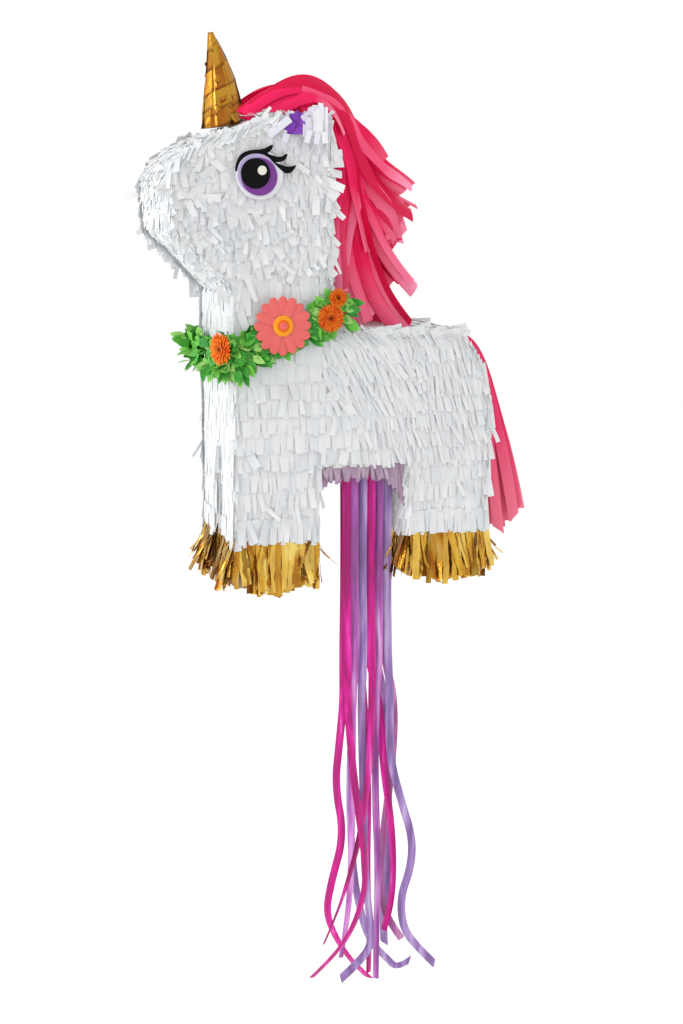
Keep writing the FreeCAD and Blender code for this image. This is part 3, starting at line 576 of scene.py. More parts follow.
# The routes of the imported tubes, in millimetres, with each ribbon's colour.
RIBBON_ROUTES = {
    "ribbon_1": ("magenta", [
        (54, -35.3, -328.4), (53.3, -35.6, -425), (54.7, -37.6, -525), (51, -45.5, -561),
        (53, -55.7, -625), (60, -58, -682), (67, -58, -734), (64, -58, -767), (51, -58, -800),
        (33, -58, -823), (10, -58, -842)]),
    "ribbon_2": ("orchid", [
        (62.4, -35.3, -328.4), (61.7, -35.6, -425), (63.1, -35.8, -525), (59, -37.6, -564),
        (58, -40, -657), (57, -40.5, -742), (54, -40.5, -790), (46, -40.5, -835)]),
    "ribbon_3": ("lilac", [
        (70.8, -35.3, -328.4), (70.1, -35.6, -425), (71.5, -35.8, -525), (68, -37.6, -565),
        (70, -40, -658), (71, -40.5, -743), (78, -40.5, -804), (79, -40.5, -827), (63, -40.5, -845),
        (46, -40.5, -858)]),
    "ribbon_4": ("magenta", [
        (79.2, -35.3, -328.4), (78.5, -35.6, -425), (79.9, -36.7, -525), (77, -45, -564),
        (74, -47.8, -630), (64, -49.2, -702), (51, -49.2, -748), (40, -49.2, -781), (26, -49.2, -811)]),
    "ribbon_5": ("orchid", [
        (87.6, -35.3, -328.4), (86.9, -35.6, -425), (88.3, -34.9, -525), (85, -33.7, -568),
        (85, -32.1, -663), (89, -31.8, -750), (87, -31.8, -815), (87, -31.8, -868)]),
    "ribbon_6": ("lilac", [
        (96, -35.3, -328.4), (95.3, -35.6, -425), (96.7, -35.8, -525), (99, -37.6, -568),
        (97, -40, -625), (110, -40.5, -674), (123, -40.5, -716), (121, -40.5, -748),
        (110, -40.5, -778), (113, -40.5, -813), (130, -40.5, -837), (148, -40.5, -857)]),
    "ribbon_7": ("magenta", [
        (54, -26.8, -328.4), (54.6, -26.4, -425), (53.4, -25, -525), (56, -18.8, -570),
        (54, -10.8, -619), (50, -9, -662), (60, -9, -717), (46, -9, -766), (40, -9, -799),
        (51, -9, -829), (69, -9, -859), (87, -9, -878)]),
    "ribbon_8": ("lilac", [
        (62.4, -26.8, -328.4), (63, -26.4, -425), (61.8, -25.9, -525), (65, -22.8, -569),
        (62, -18.7, -665), (66, -17.8, -752), (76, -17.8, -806), (87, -17.8, -836), (103, -17.8, -854),
        (115, -17.8, -869), (129, -17.8, -861)]),
    "ribbon_9": ("magenta", [
        (70.8, -26.8, -328.4), (71.4, -26.4, -425), (70.2, -24.1, -525), (79, -14.7, -573),
        (88, -2.7, -674), (88, 0, -763), (91, 0, -830), (90, 0, -877)]),
    "ribbon_10": ("magenta", [
        (79.2, -26.8, -328.4), (79.8, -26.4, -425), (78.6, -26.4, -525), (92, -25.2, -571),
        (97, -23.6, -646), (106, -23.2, -701), (109, -23.2, -756), (106, -23.2, -797),
        (98, -23.2, -820)]),
    "ribbon_11": ("lilac", [
        (87.6, -26.8, -328.4), (88.2, -26.4, -425), (87, -23.9, -525), (105, -6.6, -578),
        (111, -0.9, -677), (112, 2, -767), (106, 2, -816), (108, 2, -848)]),
    "ribbon_12": ("purple", [
        (96, -26.8, -328.4), (96.6, -26.4, -425), (95.4, -25.6, -525), (110, -21.2, -574),
        (109, -15.6, -650), (99, -14.4, -725), (97, -14.4, -780), (104, -14.4, -811),
        (121, -14.4, -837)]),
}


def add_ribbons():
    for name, (colour, route) in RIBBON_ROUTES.items():
        points = smooth_path(np.array(route) * MM, order=3, steps=12)
        turns = rng.uniform(-0.45, 0.45, 2)
        grid = path_sheet(points, RIBBON_WIDTH, (-0.3, -1, 0), roll=(turns[0], turns[1] * 2.4),
                          cup=0.12, wave=0.03, end_cut=rng.uniform(-0.5, 0.5))
        ribbon = Sheets().add(grid).build(
            name + "_satin", SATIN[colour], "ribbon_" + colour, "ribbons", (name,))


add_ribbons()


# ---- white paper fringe ----------------------------------------------------------------------
SKIN_RISE = 0.0012
LAYER_RISES = (0.0014, 0.0025)
EDGE_RISES = (0.0014, 0.0022)
GLUE_SPREAD = 0.0006
# Strips that round off a corner: distance from it, and how far their glued ends wander.
CORNER_RISES = (0.0014, 0.0028)
CORNER_SCATTER = 0.003
# How far the glued ends of a row wander.
ROW_SCATTER = 0.0009
# Height of the lowest glue line over the edge below it, on the sides and on the legs.
SIDE_FIRST_ROW, LEG_FIRST_ROW = 0.021, 0.0245
EYE_PLACE, EYE_CLEAR, EYE_PLANE = (-0.0377, -0.0573), 0.027, 0.0612
LASH_PLACE, LASH_CLEAR = (-0.016, -0.045), 0.016


def spans(outline, z):
    """Stretches of x inside an outline at height z."""
    crossings = []
    for (x0, z0), (x1, z1) in zip(outline, outline[1:] + outline[:1]):
        if (z0 - z) * (z1 - z) < 0:
            crossings.append(x0 + (x1 - x0) * (z - z0) / (z1 - z0))
    crossings.sort()
    return list(zip(crossings[::2], crossings[1::2]))


def walk(start, end, low, high, overlap=0.82):
    """Centres and widths of strips laid side by side from start to end."""
    centres, widths = [], []
    here = start
    while here < end:
        width = rng.uniform(low, high)
        centres.append(here + width / 2)
        widths.append(width)
        here += width * overlap
    return np.array(centres), np.array(widths)


class Look:
    """How the strips of one region are cut and how untidy they lie."""

    def __init__(self, width, length, pitch, tilt=0.0, untidy=0.06, lean=(0.02, 0.10),
                 curl=(-0.12, 0.18), roll=0.16, stray=0.06, stray_turn=0.35, cup=(0.02, 0.05)):
        self.width = width
        self.length = length
        self.pitch = pitch
        self.tilt = tilt
        self.untidy = untidy
        self.lean = lean
        self.curl = curl
        self.roll = roll
        self.stray = stray
        self.stray_turn = stray_turn
        self.cup = cup

    def strips(self, base, down, out, width, tilt_hand=0.0):
        """Strips at base points; tilt_hand says which way the standing tilt goes."""
        amount = len(base)
        angle = self.tilt * tilt_hand + rng.normal(0, self.untidy, amount)
        lean = draw_between(*self.lean, amount)
        curl = draw_between(*self.curl, amount)
        roll = rng.normal(0, self.roll, amount)
        stray = rng.random(amount) < self.stray
        angle = angle + stray * rng.normal(0, self.stray_turn, amount)
        lean = lean + stray * draw_between(0.05, 0.30, amount)
        roll = roll + stray * rng.normal(0, 0.4, amount)
        length = draw_between(*self.length, amount)
        down = np.broadcast_to(down, base.shape)
        out = np.broadcast_to(out, base.shape)
        base = base + out * rng.uniform(0, GLUE_SPREAD, amount)[:, None]
        return strips(base, turned(down, out, angle), out, width, length, lean, curl, roll,
                      cup=rng.normal(*self.cup, amount), taper=draw_between(0.0, 0.35, amount))


HEAD_LOOK = Look((0.0035, 0.0078), (0.014, 0.022), 0.0070, untidy=0.24, lean=(0.0, 0.12),
                 curl=(-0.3, 0.25), roll=0.28, stray=0.08, stray_turn=0.7)
FACE_LOOK = Look((0.0045, 0.0090), (0.012, 0.016), 0.0060, untidy=0.22, lean=(0.01, 0.05),
                 curl=(-0.08, 0.08), roll=0.03, stray=0.02, stray_turn=0.5, cup=(0.09, 0.03))
NECK_LOOK = Look((0.0040, 0.0085), (0.020, 0.029), 0.0115, untidy=0.07, lean=(0.0, 0.06),
                 curl=(-0.12, 0.12), stray=0.04)
FLANK_LOOK = Look((0.005, 0.011), (0.0190, 0.0235), 0.0162, untidy=0.06, lean=(0.03, 0.11),
                  roll=0.12, stray=0.04)
HIP_LOOK = Look((0.0024, 0.0052), (0.0200, 0.0245), 0.0162, tilt=0.18, untidy=0.09,
                lean=(0.03, 0.10), roll=0.10, stray=0.03)
SADDLE_LOOK = Look((0.0026, 0.0058), (0.0220, 0.0300), 0.0150, tilt=0.42, untidy=0.11,
                   lean=(0.02, 0.08), curl=(-0.12, 0.12), roll=0.10, stray=0.03)
LEG_LOOK = Look((0.0036, 0.0085), (0.0200, 0.0245), 0.0162, untidy=0.07, lean=(0.0, 0.08),
                curl=(-0.12, 0.12), roll=0.12, stray=0.03)
FLARE_LOOK = Look((0.0030, 0.0070), (0.0200, 0.0250), 0.0162, untidy=0.10, lean=(0.05, 0.24),
                  curl=(-0.05, 0.10), roll=0.12, stray=0.0)
CHEST_LOOK = Look((0.0045, 0.0095), (0.0180, 0.0215), 0.0150, untidy=0.05, lean=(0.005, 0.03),
                  curl=(-0.04, 0.04), roll=0.02, stray=0.01, cup=(0.09, 0.03))
BACK_LOOK = Look((0.0045, 0.0085), (0.0160, 0.0200), 0.0130, untidy=0.10, lean=(0.005, 0.03),
                 curl=(-0.04, 0.05), roll=0.02, stray=0.01, cup=(0.09, 0.03))
JAW_LOOK = Look((0.0045, 0.0085), (0.006, 0.009), 0.0050, untidy=0.30, lean=(0.02, 0.08),
                curl=(-0.10, 0.10), roll=0.08, stray=0.02, cup=(0.06, 0.03))
HEAD_END_Z = -0.140
NECK_END_Z = -0.205
HIP_X = 0.055
SADDLE_END_Z = -0.262
SADDLE_X, SADDLE_END_X = 0.030, 0.112


def press(grids, side):
    """Flattens the strips that lie under an eye, so that they don't cover its card."""
    shape = grids.shape
    points = grids.reshape(-1, 3)
    eye = np.hypot(points[:, 0] - EYE_PLACE[0], points[:, 2] - EYE_PLACE[1]) / EYE_CLEAR
    lash = np.hypot(points[:, 0] - LASH_PLACE[0], points[:, 2] - LASH_PLACE[1]) / LASH_CLEAR
    near = np.clip(2.2 - 1.2 * np.minimum(eye, lash), 0, 1)
    height = points[:, 1] * side
    squeezed = PANEL_Y + (EYE_PLANE - PANEL_Y) * np.tanh((height - PANEL_Y) / (EYE_PLANE - PANEL_Y))
    points[:, 1] = side * (height + near * (squeezed - height))
    return points.reshape(shape)


def side_rows():
    """Heights of the rows on a side face with the look of each stretch (start, end, look)."""
    z = BELLY_Z + SIDE_FIRST_ROW
    while z < CROWN_Z:
        if z > HEAD_END_Z:
            look = HEAD_LOOK
        elif z > NECK_END_Z:
            look = NECK_LOOK
        else:
            look = FLANK_LOOK
        stretches = []
        for start, end in spans(OUTLINE, z):
            if look is FLANK_LOOK and z > SADDLE_END_Z:
                bound = SADDLE_X + (z - SADDLE_END_Z) * -0.3
                stretches += [(start, bound, FLANK_LOOK), (bound, SADDLE_END_X, SADDLE_LOOK),
                              (SADDLE_END_X, end, HIP_LOOK)]
            elif look is FLANK_LOOK:
                stretches += [(start, HIP_X, FLANK_LOOK), (HIP_X, end, HIP_LOOK)]
            else:
                stretches.append((start, end, look))
        yield z, stretches
        z += look.pitch


def side_fringe(side, trim=None):
    """Rows of strips on one side face; trim(grids) cuts them round an opening."""
    sheets = Sheets()
    out = np.array([0, side, 0])
    for z, stretches in side_rows():
        for start, end, look in stretches:
            for rise in LAYER_RISES:
                x, width = walk(start - 0.001, end + 0.001, *look.width)
                base = np.stack([x, np.full(len(x), side * (PANEL_Y + rise)),
                                 z + rng.normal(0, ROW_SCATTER, len(x))], axis=1)
                grids = press(look.strips(base, DOWN, out, width, side), side)
                if trim is not None:
                    grids = trim(grids)
                if len(grids):
                    sheets.add(grids)
    return sheets


class EdgePath:
    """A stretch of the narrow faces, followed downhill as (x, z) points."""

    def __init__(self, points):
        self.points = np.asarray(points, dtype=float)
        steps = np.diff(self.points, axis=0)
        self.lengths = np.linalg.norm(steps, axis=1)
        self.total = np.concatenate([[0], np.cumsum(self.lengths)])
        self.directions = steps / self.lengths[:, None]
        self.normals = np.array([self.outward(k) for k in range(len(steps))])

    def outward(self, k):
        """Normal of run k that points away from the inside of the shell."""
        dx, dz = self.directions[k]
        middle = (self.points[k] + self.points[k + 1]) / 2
        x, z = middle + np.array([dz, -dx]) * 0.004
        inside = any(low < x < high for low, high in spans(OUTLINE, z))
        return (-dz, dx) if inside else (dz, -dx)

    def at(self, travelled):
        """Place, downhill direction and outward normal, with rounded turns."""
        centres = (self.total[:-1] + self.total[1:]) / 2
        k = min(int(np.searchsorted(self.total, travelled, side="right")) - 1,
                len(self.lengths) - 1)
        share = (travelled - self.total[k]) / self.lengths[k]
        place = self.points[k] * (1 - share) + self.points[k + 1] * share
        normal = np.array([np.interp(travelled, centres, self.normals[:, i]) for i in (0, 1)])
        direction = np.array([np.interp(travelled, centres, self.directions[:, i]) for i in (0, 1)])
        return (place, np.array([direction[0], 0, direction[1]]),
                unit(np.array([normal[0], 0, normal[1]])))


def edge_fringe(sheets, points, look):
    """Rows across a narrow face, and strips that round off its two long corners."""
    path = EdgePath(points)
    for travelled in np.arange(look.pitch * 0.3, path.total[-1], look.pitch):
        place, down, out = path.at(travelled)
        for rise in EDGE_RISES:
            y, width = walk(-PANEL_Y, PANEL_Y, *look.width)
            base = np.stack([np.full(len(y), place[0]), y, np.full(len(y), place[1])], axis=1)
            base = base + out * rise + down * rng.normal(0, ROW_SCATTER, len(y))[:, None]
            sheets.add(look.strips(base, down, out, width))
    for travelled in np.arange(0, path.total[-1], look.pitch * 0.5):
        place, down, out = path.at(travelled)
        fall = unit(down + np.array([0, 0, -0.9]))
        for side in (LEFT, RIGHT):
            for share in (0.25, 0.5, 0.75):
                turn = share * math.pi / 2
                normal = out * math.cos(turn) + np.array([0, side, 0]) * math.sin(turn)
                rise = rng.uniform(*CORNER_RISES)
                base = np.array([[place[0], side * PANEL_Y, place[1]]]) + normal * rise
                base = base + fall * rng.normal(0, CORNER_SCATTER)
                sheets.add(look.strips(base, fall, normal, rng.uniform(*look.width)))


FILL_LOW, FILL_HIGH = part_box("fill_door")
FILL_CLEAR = 0.0015


def trim_at_flap(grids):
    """Shortens strips glued above the filling flap, and leaves out others that would cross it."""
    x, z = grids[..., 0], grids[..., 2]
    over = ((x > FILL_LOW[0] - FILL_CLEAR) & (x < FILL_HIGH[0] + FILL_CLEAR)
            & (z > FILL_LOW[2] - FILL_CLEAR) & (z < FILL_HIGH[2] + FILL_CLEAR)).any(axis=(1, 2))
    top, bottom = grids[:, 0, 1, 2], z.min(axis=(1, 2))
    limit = FILL_HIGH[2] + FILL_CLEAR
    share = np.where(over, (top - limit) / np.maximum(top - bottom, 1e-6), 1.0)
    grids[..., 2] = top[:, None, None] - (top[:, None, None] - z) * share[:, None, None]
    return grids[~over | (top > limit + 0.004)]


def side_skin(side):
    """The paper glued flat on a side panel under the strips, without the filling opening."""
    sheets = Sheets()
    levels = sorted({z for _, z in OUTLINE} | {FILL_LOW[2], FILL_HIGH[2]}
                    | set(np.linspace(BELLY_Z, CROWN_Z, 60)))
    y = side * (PANEL_Y + SKIN_RISE)
    hole = (FILL_LOW[0] - 0.0005, FILL_HIGH[0] + 0.0005)
    for low, high in zip(levels, levels[1:]):
        rows = [spans(OUTLINE, z) for z in (low + 1e-5, high - 1e-5)]
        if len(rows[0]) != len(rows[1]):
            continue
        open_here = side == RIGHT and FILL_LOW[2] - 1e-4 < (low + high) / 2 < FILL_HIGH[2] + 1e-4
        for (a0, a1), (b0, b1) in zip(*rows):
            parts = [(a0, a1, b0, b1)]
            if open_here and a0 < hole[0] < a1:
                parts = [(a0, hole[0], b0, hole[0]), (hole[1], a1, hole[1], b1)]
            for c0, c1, d0, d1 in parts:
                sheets.add_faces([(c0, y, low), (c1, y, low), (d1, y, high), (d0, y, high)],
                                 [(0, 1, 2, 3)])
    return sheets


def edge_skin(points):
    """The paper glued flat on a narrow face."""
    path = EdgePath(points)
    rows = []
    for travelled in np.linspace(0, path.total[-1] - 1e-6, 40):
        place, _, out = path.at(travelled)
        x, z = place[0] + out[0] * SKIN_RISE, place[1] + out[2] * SKIN_RISE
        rows.append([(x, -PANEL_Y, z), (x, PANEL_Y, z)])
    return np.array(rows)[None]


FACE_EDGE = [(-0.028, CROWN_Z), (-0.050, -0.018), (-0.084, -0.027), (-0.103, -0.040),
             (-0.115, -0.051), (NOSE_X, -0.066), (-0.118, CHIN_Z)]
CROWN_EDGE = [(NAPE_X, CROWN_Z), (-0.028, CROWN_Z)]
JAW_EDGE = [(-0.118, CHIN_Z), (-0.113, -0.109), (-0.103, -0.117), (CHEST_X, THROAT_Z)]
THROAT_EDGE = [(CHEST_X, THROAT_Z), (CHEST_X, NECK_END_Z)]
CHEST_EDGE = [(CHEST_X, NECK_END_Z), (CHEST_X, BELLY_Z + 0.006)]
BACK_EDGE = [(NAPE_X + 0.004, BACK_Z), (RUMP_START_X, BACK_Z), *RUMP_CURVE,
             (RUMP_X, BELLY_Z + 0.006)]
NAPE_EDGE = [(NAPE_X, CROWN_Z - 0.003), (NAPE_X, BACK_Z + 0.01)]


TUFT_X, TUFT_RISE = 0.021, 0.0035
# Height and slope of each tuft.
TUFTS = ((-0.041, 0.15), (-0.046, 0.0), (-0.053, -0.2), (-0.060, -0.5), (-0.064, -0.9),
         (-0.118, -0.6))


def nape_tufts(side):
    """Loose strips of the neck that stand out over the mane."""
    sheets = Sheets()
    for z, fall in TUFTS:
        base = np.array([[TUFT_X, side * (PANEL_Y + TUFT_RISE), z]])
        sheets.add(strips(base, np.array([[1.0, 0, fall]]), np.array([[0, side, 0]]),
                          draw_between(0.007, 0.010, 1), draw_between(0.020, 0.025, 1),
                          draw_between(0.0, 0.25, 1), rng.normal(0, 0.3, 1), rng.normal(0, 0.4, 1)))
    return sheets


def add_white_fringe():
    side_fringe(LEFT).build("left_side_strips", WHITE, "white_paper",
                            replaces=("left_side_fringe",))
    side_fringe(RIGHT, trim_at_flap).build("right_side_strips", WHITE, "white_paper",
                                           replaces=("right_side_fringe",))
    nape_tufts(LEFT).build("left_nape_tufts", WHITE, "white_paper")
    nape_tufts(RIGHT).build("right_nape_tufts", WHITE, "white_paper")
    head = Sheets()
    edge_fringe(head, FACE_EDGE, FACE_LOOK)
    edge_fringe(head, CROWN_EDGE, HEAD_LOOK)
    head.build("head_strips", WHITE, "white_paper", replaces=("head_fringe",))
    chest = Sheets()
    for points, look in ((JAW_EDGE, JAW_LOOK), (THROAT_EDGE, CHEST_LOOK),
                         (CHEST_EDGE, CHEST_LOOK)):
        edge_fringe(chest, points, look)
    chest.build("chest_strips", WHITE, "white_paper", replaces=("chest_fringe",))
    rear = Sheets()
    edge_fringe(rear, BACK_EDGE, BACK_LOOK)
    edge_fringe(rear, NAPE_EDGE, NECK_LOOK)
    rear.build("rear_strips", WHITE, "white_paper", replaces=("rear_fringe",))
    skin = side_skin(LEFT)
    right_skin = side_skin(RIGHT)
    right_skin.build("right_skin", WHITE, "white_paper")
    for points in (FACE_EDGE, CROWN_EDGE, JAW_EDGE, THROAT_EDGE, CHEST_EDGE, BACK_EDGE, NAPE_EDGE):
        skin.add(edge_skin(points))
    skin.build("white_skin", WHITE, "white_paper")


def leg_faces(node):
    """The four upright faces of a leg: corner, direction along, length, outward normal."""
    low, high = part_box(node)
    size_x, size_y = high[0] - low[0], high[1] - low[1]
    return [((low[0], low[1]), (1, 0), size_x, (0, -1)), ((high[0], low[1]), (0, 1), size_y, (1, 0)),
            ((high[0], high[1]), (-1, 0), size_x, (0, 1)), ((low[0], high[1]), (0, -1), size_y, (-1, 0))]


LEGS = ("front_left", "front_right", "rear_left", "rear_right")


def leg_row(sheets, node, z, look, rises):
    """One ring of strips round a leg, with its corners rounded off."""
    for corner, along, length, normal in leg_faces(node):
        out = np.array([*normal, 0.0])
        for rise in rises:
            u, width = walk(0, length, *look.width)
            base = np.stack([corner[0] + along[0] * u + normal[0] * rise,
                             corner[1] + along[1] * u + normal[1] * rise,
                             z + rng.normal(0, ROW_SCATTER, len(u))], axis=1)
            cut = look
            if normal[0] < 0:
                cut = FLARE_LOOK if "rear" in node else CHEST_LOOK
            sheets.add(cut.strips(base, DOWN, out, width, 0.4 * normal[1]))
        for share in (0.2, 0.4, 0.6, 0.8):
            turn = share * math.pi / 2
            diagonal = out * math.cos(turn) - np.array([*along, 0.0]) * math.sin(turn)
            base = np.array([[*corner, z + rng.normal(0, CORNER_SCATTER)]])
            base = base + diagonal * rng.uniform(*CORNER_RISES)
            sheets.add(look.strips(base, DOWN, diagonal, rng.uniform(*look.width)))


def add_leg_fringe():
    for name in LEGS:
        sheets = Sheets()
        for corner, along, length, normal in leg_faces(name + "_leg"):
            near = np.array(corner) + np.array(normal) * SKIN_RISE
            far = near + np.array(along) * length
            sheets.add_faces([(*near, WHITE_END_Z + 0.004), (*far, WHITE_END_Z + 0.004),
                              (*far, BELLY_Z), (*near, BELLY_Z)], [(0, 1, 2, 3)])
        z = WHITE_END_Z + LEG_FIRST_ROW
        leg_row(sheets, name + "_leg", z, LEG_LOOK, [rise + 0.0014 for rise in EDGE_RISES])
        while z < BELLY_Z + 0.020:
            leg_row(sheets, name + "_leg", z, LEG_LOOK, EDGE_RISES)
            z += LEG_LOOK.pitch
        names = ("leg_fringes",) if name == LEGS[0] else ()
        sheets.build(name + "_leg_strips", WHITE, "white_paper", replaces=names)


add_white_fringe()
add_leg_fringe()


# ---- belly: hanging skirt, and the fringe under the trap flap --------------------------------
SKIRT_LOOK = Look((0.0030, 0.0075), (0.013, 0.019), 0.006, untidy=0.16, lean=(-0.12, 0.12),
                  curl=(-0.4, 0.4), roll=0.3, stray=0.1)
FLAP_LOOK = Look((0.005, 0.010), (0.010, 0.015), 0.008, untidy=0.12, lean=(0.5, 0.9),
                 curl=(-0.6, 0.0), roll=0.3, stray=0.0)
# Beside the hinge the strips lie along the flap, clear of the skirt when the flap hangs open.
HINGE_LOOK = Look((0.005, 0.010), (0.010, 0.015), 0.008, untidy=0.12, lean=(0.02, 0.12),
                  curl=(-0.1, 0.1), roll=0.1, stray=0.0)
HINGE_REACH = 0.030
SKIRT_INSETS = (0.001, 0.008, 0.013)
ARCH_MIDDLE_X = 0.07


def add_skirt():
    look = SKIRT_LOOK
    skirt_low, skirt_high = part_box("belly_fringe")
    trap_low, trap_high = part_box("trap_door")
    skirt = Sheets()
    for y in ([inset - PANEL_Y for inset in SKIRT_INSETS]
              + [PANEL_Y - inset for inset in SKIRT_INSETS[::-1]]):
        x, width = walk(skirt_low[0] - 0.004, skirt_high[0] + 0.002, *look.width)
        base = np.stack([x, np.full(len(x), y), np.full(len(x), BELLY_Z + 0.0005)], axis=1)
        skirt.add(look.strips(base, DOWN, np.array([0, math.copysign(1, y), 0.0]), width))
    # Longer strips beside the legs, which round the corners of the arch.
    for corner, away, drops in ((skirt_low[0], 1, (0.025, 0.022, 0.020)),
                                (skirt_high[0], -1, (0.042, 0.036, 0.030, 0.026, 0.022))):
        for step, drop in enumerate(drops):
            base = np.array([[corner + away * 0.0032 * step, side * (PANEL_Y - 0.0015 - 0.001 * row),
                              BELLY_Z + 0.001] for side in (LEFT, RIGHT) for row in range(3)])
            skirt.add(strips(base, np.array([-away * 0.10, 0, -1.0]), np.array([0, -1.0, 0]),
                             draw_between(0.004, 0.007, 6), drop * draw_between(0.9, 1.1, 6), 0.0,
                             rng.normal(0, 0.1, 6), rng.normal(0, 0.4, 6)))
    for x in np.concatenate([np.arange(skirt_low[0] + 0.002, trap_low[0] - 0.004, look.pitch),
                             np.arange(trap_high[0] + 0.004, skirt_high[0], look.pitch)]):
        y, width = walk(-PANEL_Y + 0.004, PANEL_Y - 0.004, *look.width)
        base = np.stack([np.full(len(y), x), y, np.full(len(y), BELLY_Z + 0.0005)], axis=1)
        out = np.array([math.copysign(1, x - ARCH_MIDDLE_X), 0, 0.0])
        skirt.add(look.strips(base, DOWN, out, width))
    skirt.build("belly_skirt", SHADED_SKIRT, "white_paper", replaces=("belly_fringe",))


def add_trap_flap_fringe():
    under = Sheets()
    nap_low, nap_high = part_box("trap_door_fringe")
    for y in np.arange(nap_low[1] + 0.004, nap_high[1] - 0.010, FLAP_LOOK.pitch):
        x, width = walk(nap_low[0] + 0.001, nap_high[0] - 0.004, *FLAP_LOOK.width)
        base = np.stack([x, np.full(len(x), y), np.full(len(x), BELLY_Z - 0.0004)], axis=1)
        if y > nap_high[1] - HINGE_REACH:
            under.add(HINGE_LOOK.strips(base, np.array([0, -1.0, -0.1]), np.array([0, 0, -1.0]),
                                        width))
        else:
            under.add(FLAP_LOOK.strips(base, np.array([0, 0.35, -1.0]), np.array([0, 1.0, 0]),
                                       width))
    under.build("trap_flap_strips", SHADED_SKIRT, "white_paper", "trap_flap", ("trap_door_fringe",))


def add_fill_flap_fringe():
    sheets = Sheets()
    y = PANEL_Y + SKIN_RISE
    sheets.add_faces([(FILL_LOW[0], y, FILL_LOW[2]), (FILL_HIGH[0], y, FILL_LOW[2]),
                      (FILL_HIGH[0], y, FILL_HIGH[2]), (FILL_LOW[0], y, FILL_HIGH[2])],
                     [(0, 1, 2, 3)])
    z = FILL_LOW[2] + 0.016
    while z < FILL_HIGH[2] - 0.003:
        for rise in LAYER_RISES:
            x, width = walk(FILL_LOW[0], FILL_HIGH[0] - 0.003, *HIP_LOOK.width)
            base = np.stack([x, np.full(len(x), PANEL_Y + rise), np.full(len(x), z)], axis=1)
            sheets.add(HIP_LOOK.strips(base, DOWN, np.array([0, 1.0, 0]), width, 1))
        z += HIP_LOOK.pitch
    sheets.build("fill_flap_strips", WHITE, "white_paper", "fill_flap", ("fill_door_fringe",))


add_skirt()
add_trap_flap_fringe()
add_fill_flap_fringe()


# ---- gold foil hooves ------------------------------------------------------------------------
def crumple(grids, amount):
    """Push the rows of each strip about, more towards the free end."""
    shape = grids.shape
    share = np.linspace(0, 1, shape[1])[None, :, None, None]
    return grids + rng.normal(0, amount, (shape[0], shape[1], 1, 3)) * share * (1, 1, 0.3)


# Foil layers as (distance from the leg, lean).
HOOF_LAYERS = ((0.0004, -0.03), (0.0008, 0.01), (0.0012, 0.05), (0.0016, 0.10))
# Loose curls on the face towards the nose or the rump, and on each other face.
END_CURLS, OTHER_CURLS = 6, 3
FOIL_UNDER_WHITE = 0.010


def add_hooves():
    top = WHITE_END_Z + FOIL_UNDER_WHITE
    for name in LEGS:
        sheets = Sheets()
        for corner, along, size, normal in leg_faces(name + "_leg"):
            out = np.array([*normal, 0.0])
            # Next to the path of the ribbons the foil lies close and its curls are short.
            by_ribbons = name == "rear_right" and normal[0] < 0
            fan = 0.16 if normal[0] < 0 and not by_ribbons else 0.02
            reach = 0.95 if normal[0] < 0 else 1.0
            for rise, lean in HOOF_LAYERS:
                u, width = walk(0, size, 0.0032, 0.0085, overlap=0.9)
                amount = len(u)
                base = np.stack([corner[0] + along[0] * u + normal[0] * rise,
                                 corner[1] + along[1] * u + normal[1] * rise,
                                 np.full(amount, top)], axis=1)
                across = 2 * u / size - 1
                down = turned(np.broadcast_to(DOWN, base.shape),
                              np.broadcast_to(out, base.shape), rng.normal(0, 0.09, amount))
                length = ((top - FOIL_END_Z) * reach * (1 - 0.20 * across ** 2)
                          * draw_between(0.86, 1.0, amount))
                grids = strips(base, down, out, width, length,
                               lean + fan + rng.normal(0, 0.03, amount),
                               rng.normal(-0.04, 0.10, amount), rng.normal(0, 0.5, amount),
                               cup=rng.normal(0, 0.20, amount), rows=8)
                sheets.add(crumple(grids, 0.0006))
            at_end = normal[0] < 0 if "front" in name else normal[0] > 0
            curls = END_CURLS if at_end else OTHER_CURLS
            u = draw_between(0, size, curls)
            base = np.stack([corner[0] + along[0] * u + normal[0] * 0.004,
                             corner[1] + along[1] * u + normal[1] * 0.004,
                             np.full(curls, top - 0.008)], axis=1)
            down = turned(np.broadcast_to(DOWN, base.shape),
                          np.broadcast_to(out, base.shape), rng.normal(0, 0.3, curls))
            spread = 0.45 if by_ribbons else 1.0
            sheets.add(strips(base, down, out, 0.0018, spread * draw_between(0.028, 0.040, curls),
                              spread * draw_between(0.15, 0.45, curls),
                              spread * draw_between(-0.3, 0.6, curls),
                              rng.normal(0, 1.0, curls), rows=9))
        sheets.build(name + "_hoof_strips", GOLD, "gold_foil", replaces=(name + "_hoof_foil",))


add_hooves()


# ---- horn ------------------------------------------------------------------------------------
HORN_BASE = np.array([-0.055, 0, -0.013])
HORN_HEIGHT, HORN_FOOT, HORN_TIP = 0.084, 0.019, 0.002
HORN_LEAN = math.radians(7)
# Radius of the core as a share of the wrap's.
HORN_CORE = 0.90
HORN_WRAPS, HORN_FACETS = 5, 6
# Foil ends that stand out, as (share of the height, angle, length, width).
HORN_ENDS = (
    (0.62, 3.05, 0.007, 0.004), (0.52, 0.1, 0.007, 0.004), (0.16, -0.1, 0.009, 0.005),
    (0.56, -1.5, 0.009, 0.004), (0.30, -1.2, 0.012, 0.005), (0.22, -1.9, 0.010, 0.005),
    (0.12, -2.6, 0.008, 0.005), (0.34, -0.6, 0.008, 0.004), (0.35, 1.4, 0.010, 0.006),
    (0.70, 1.7, 0.007, 0.004),
)
# Glue tabs at the foot, as (angle, width).
HORN_TABS = ((-1.05, 0.013), (2.2, 0.012), (0.6, 0.010))
TAB_SHARE, TAB_LENGTH = 0.13, 0.012


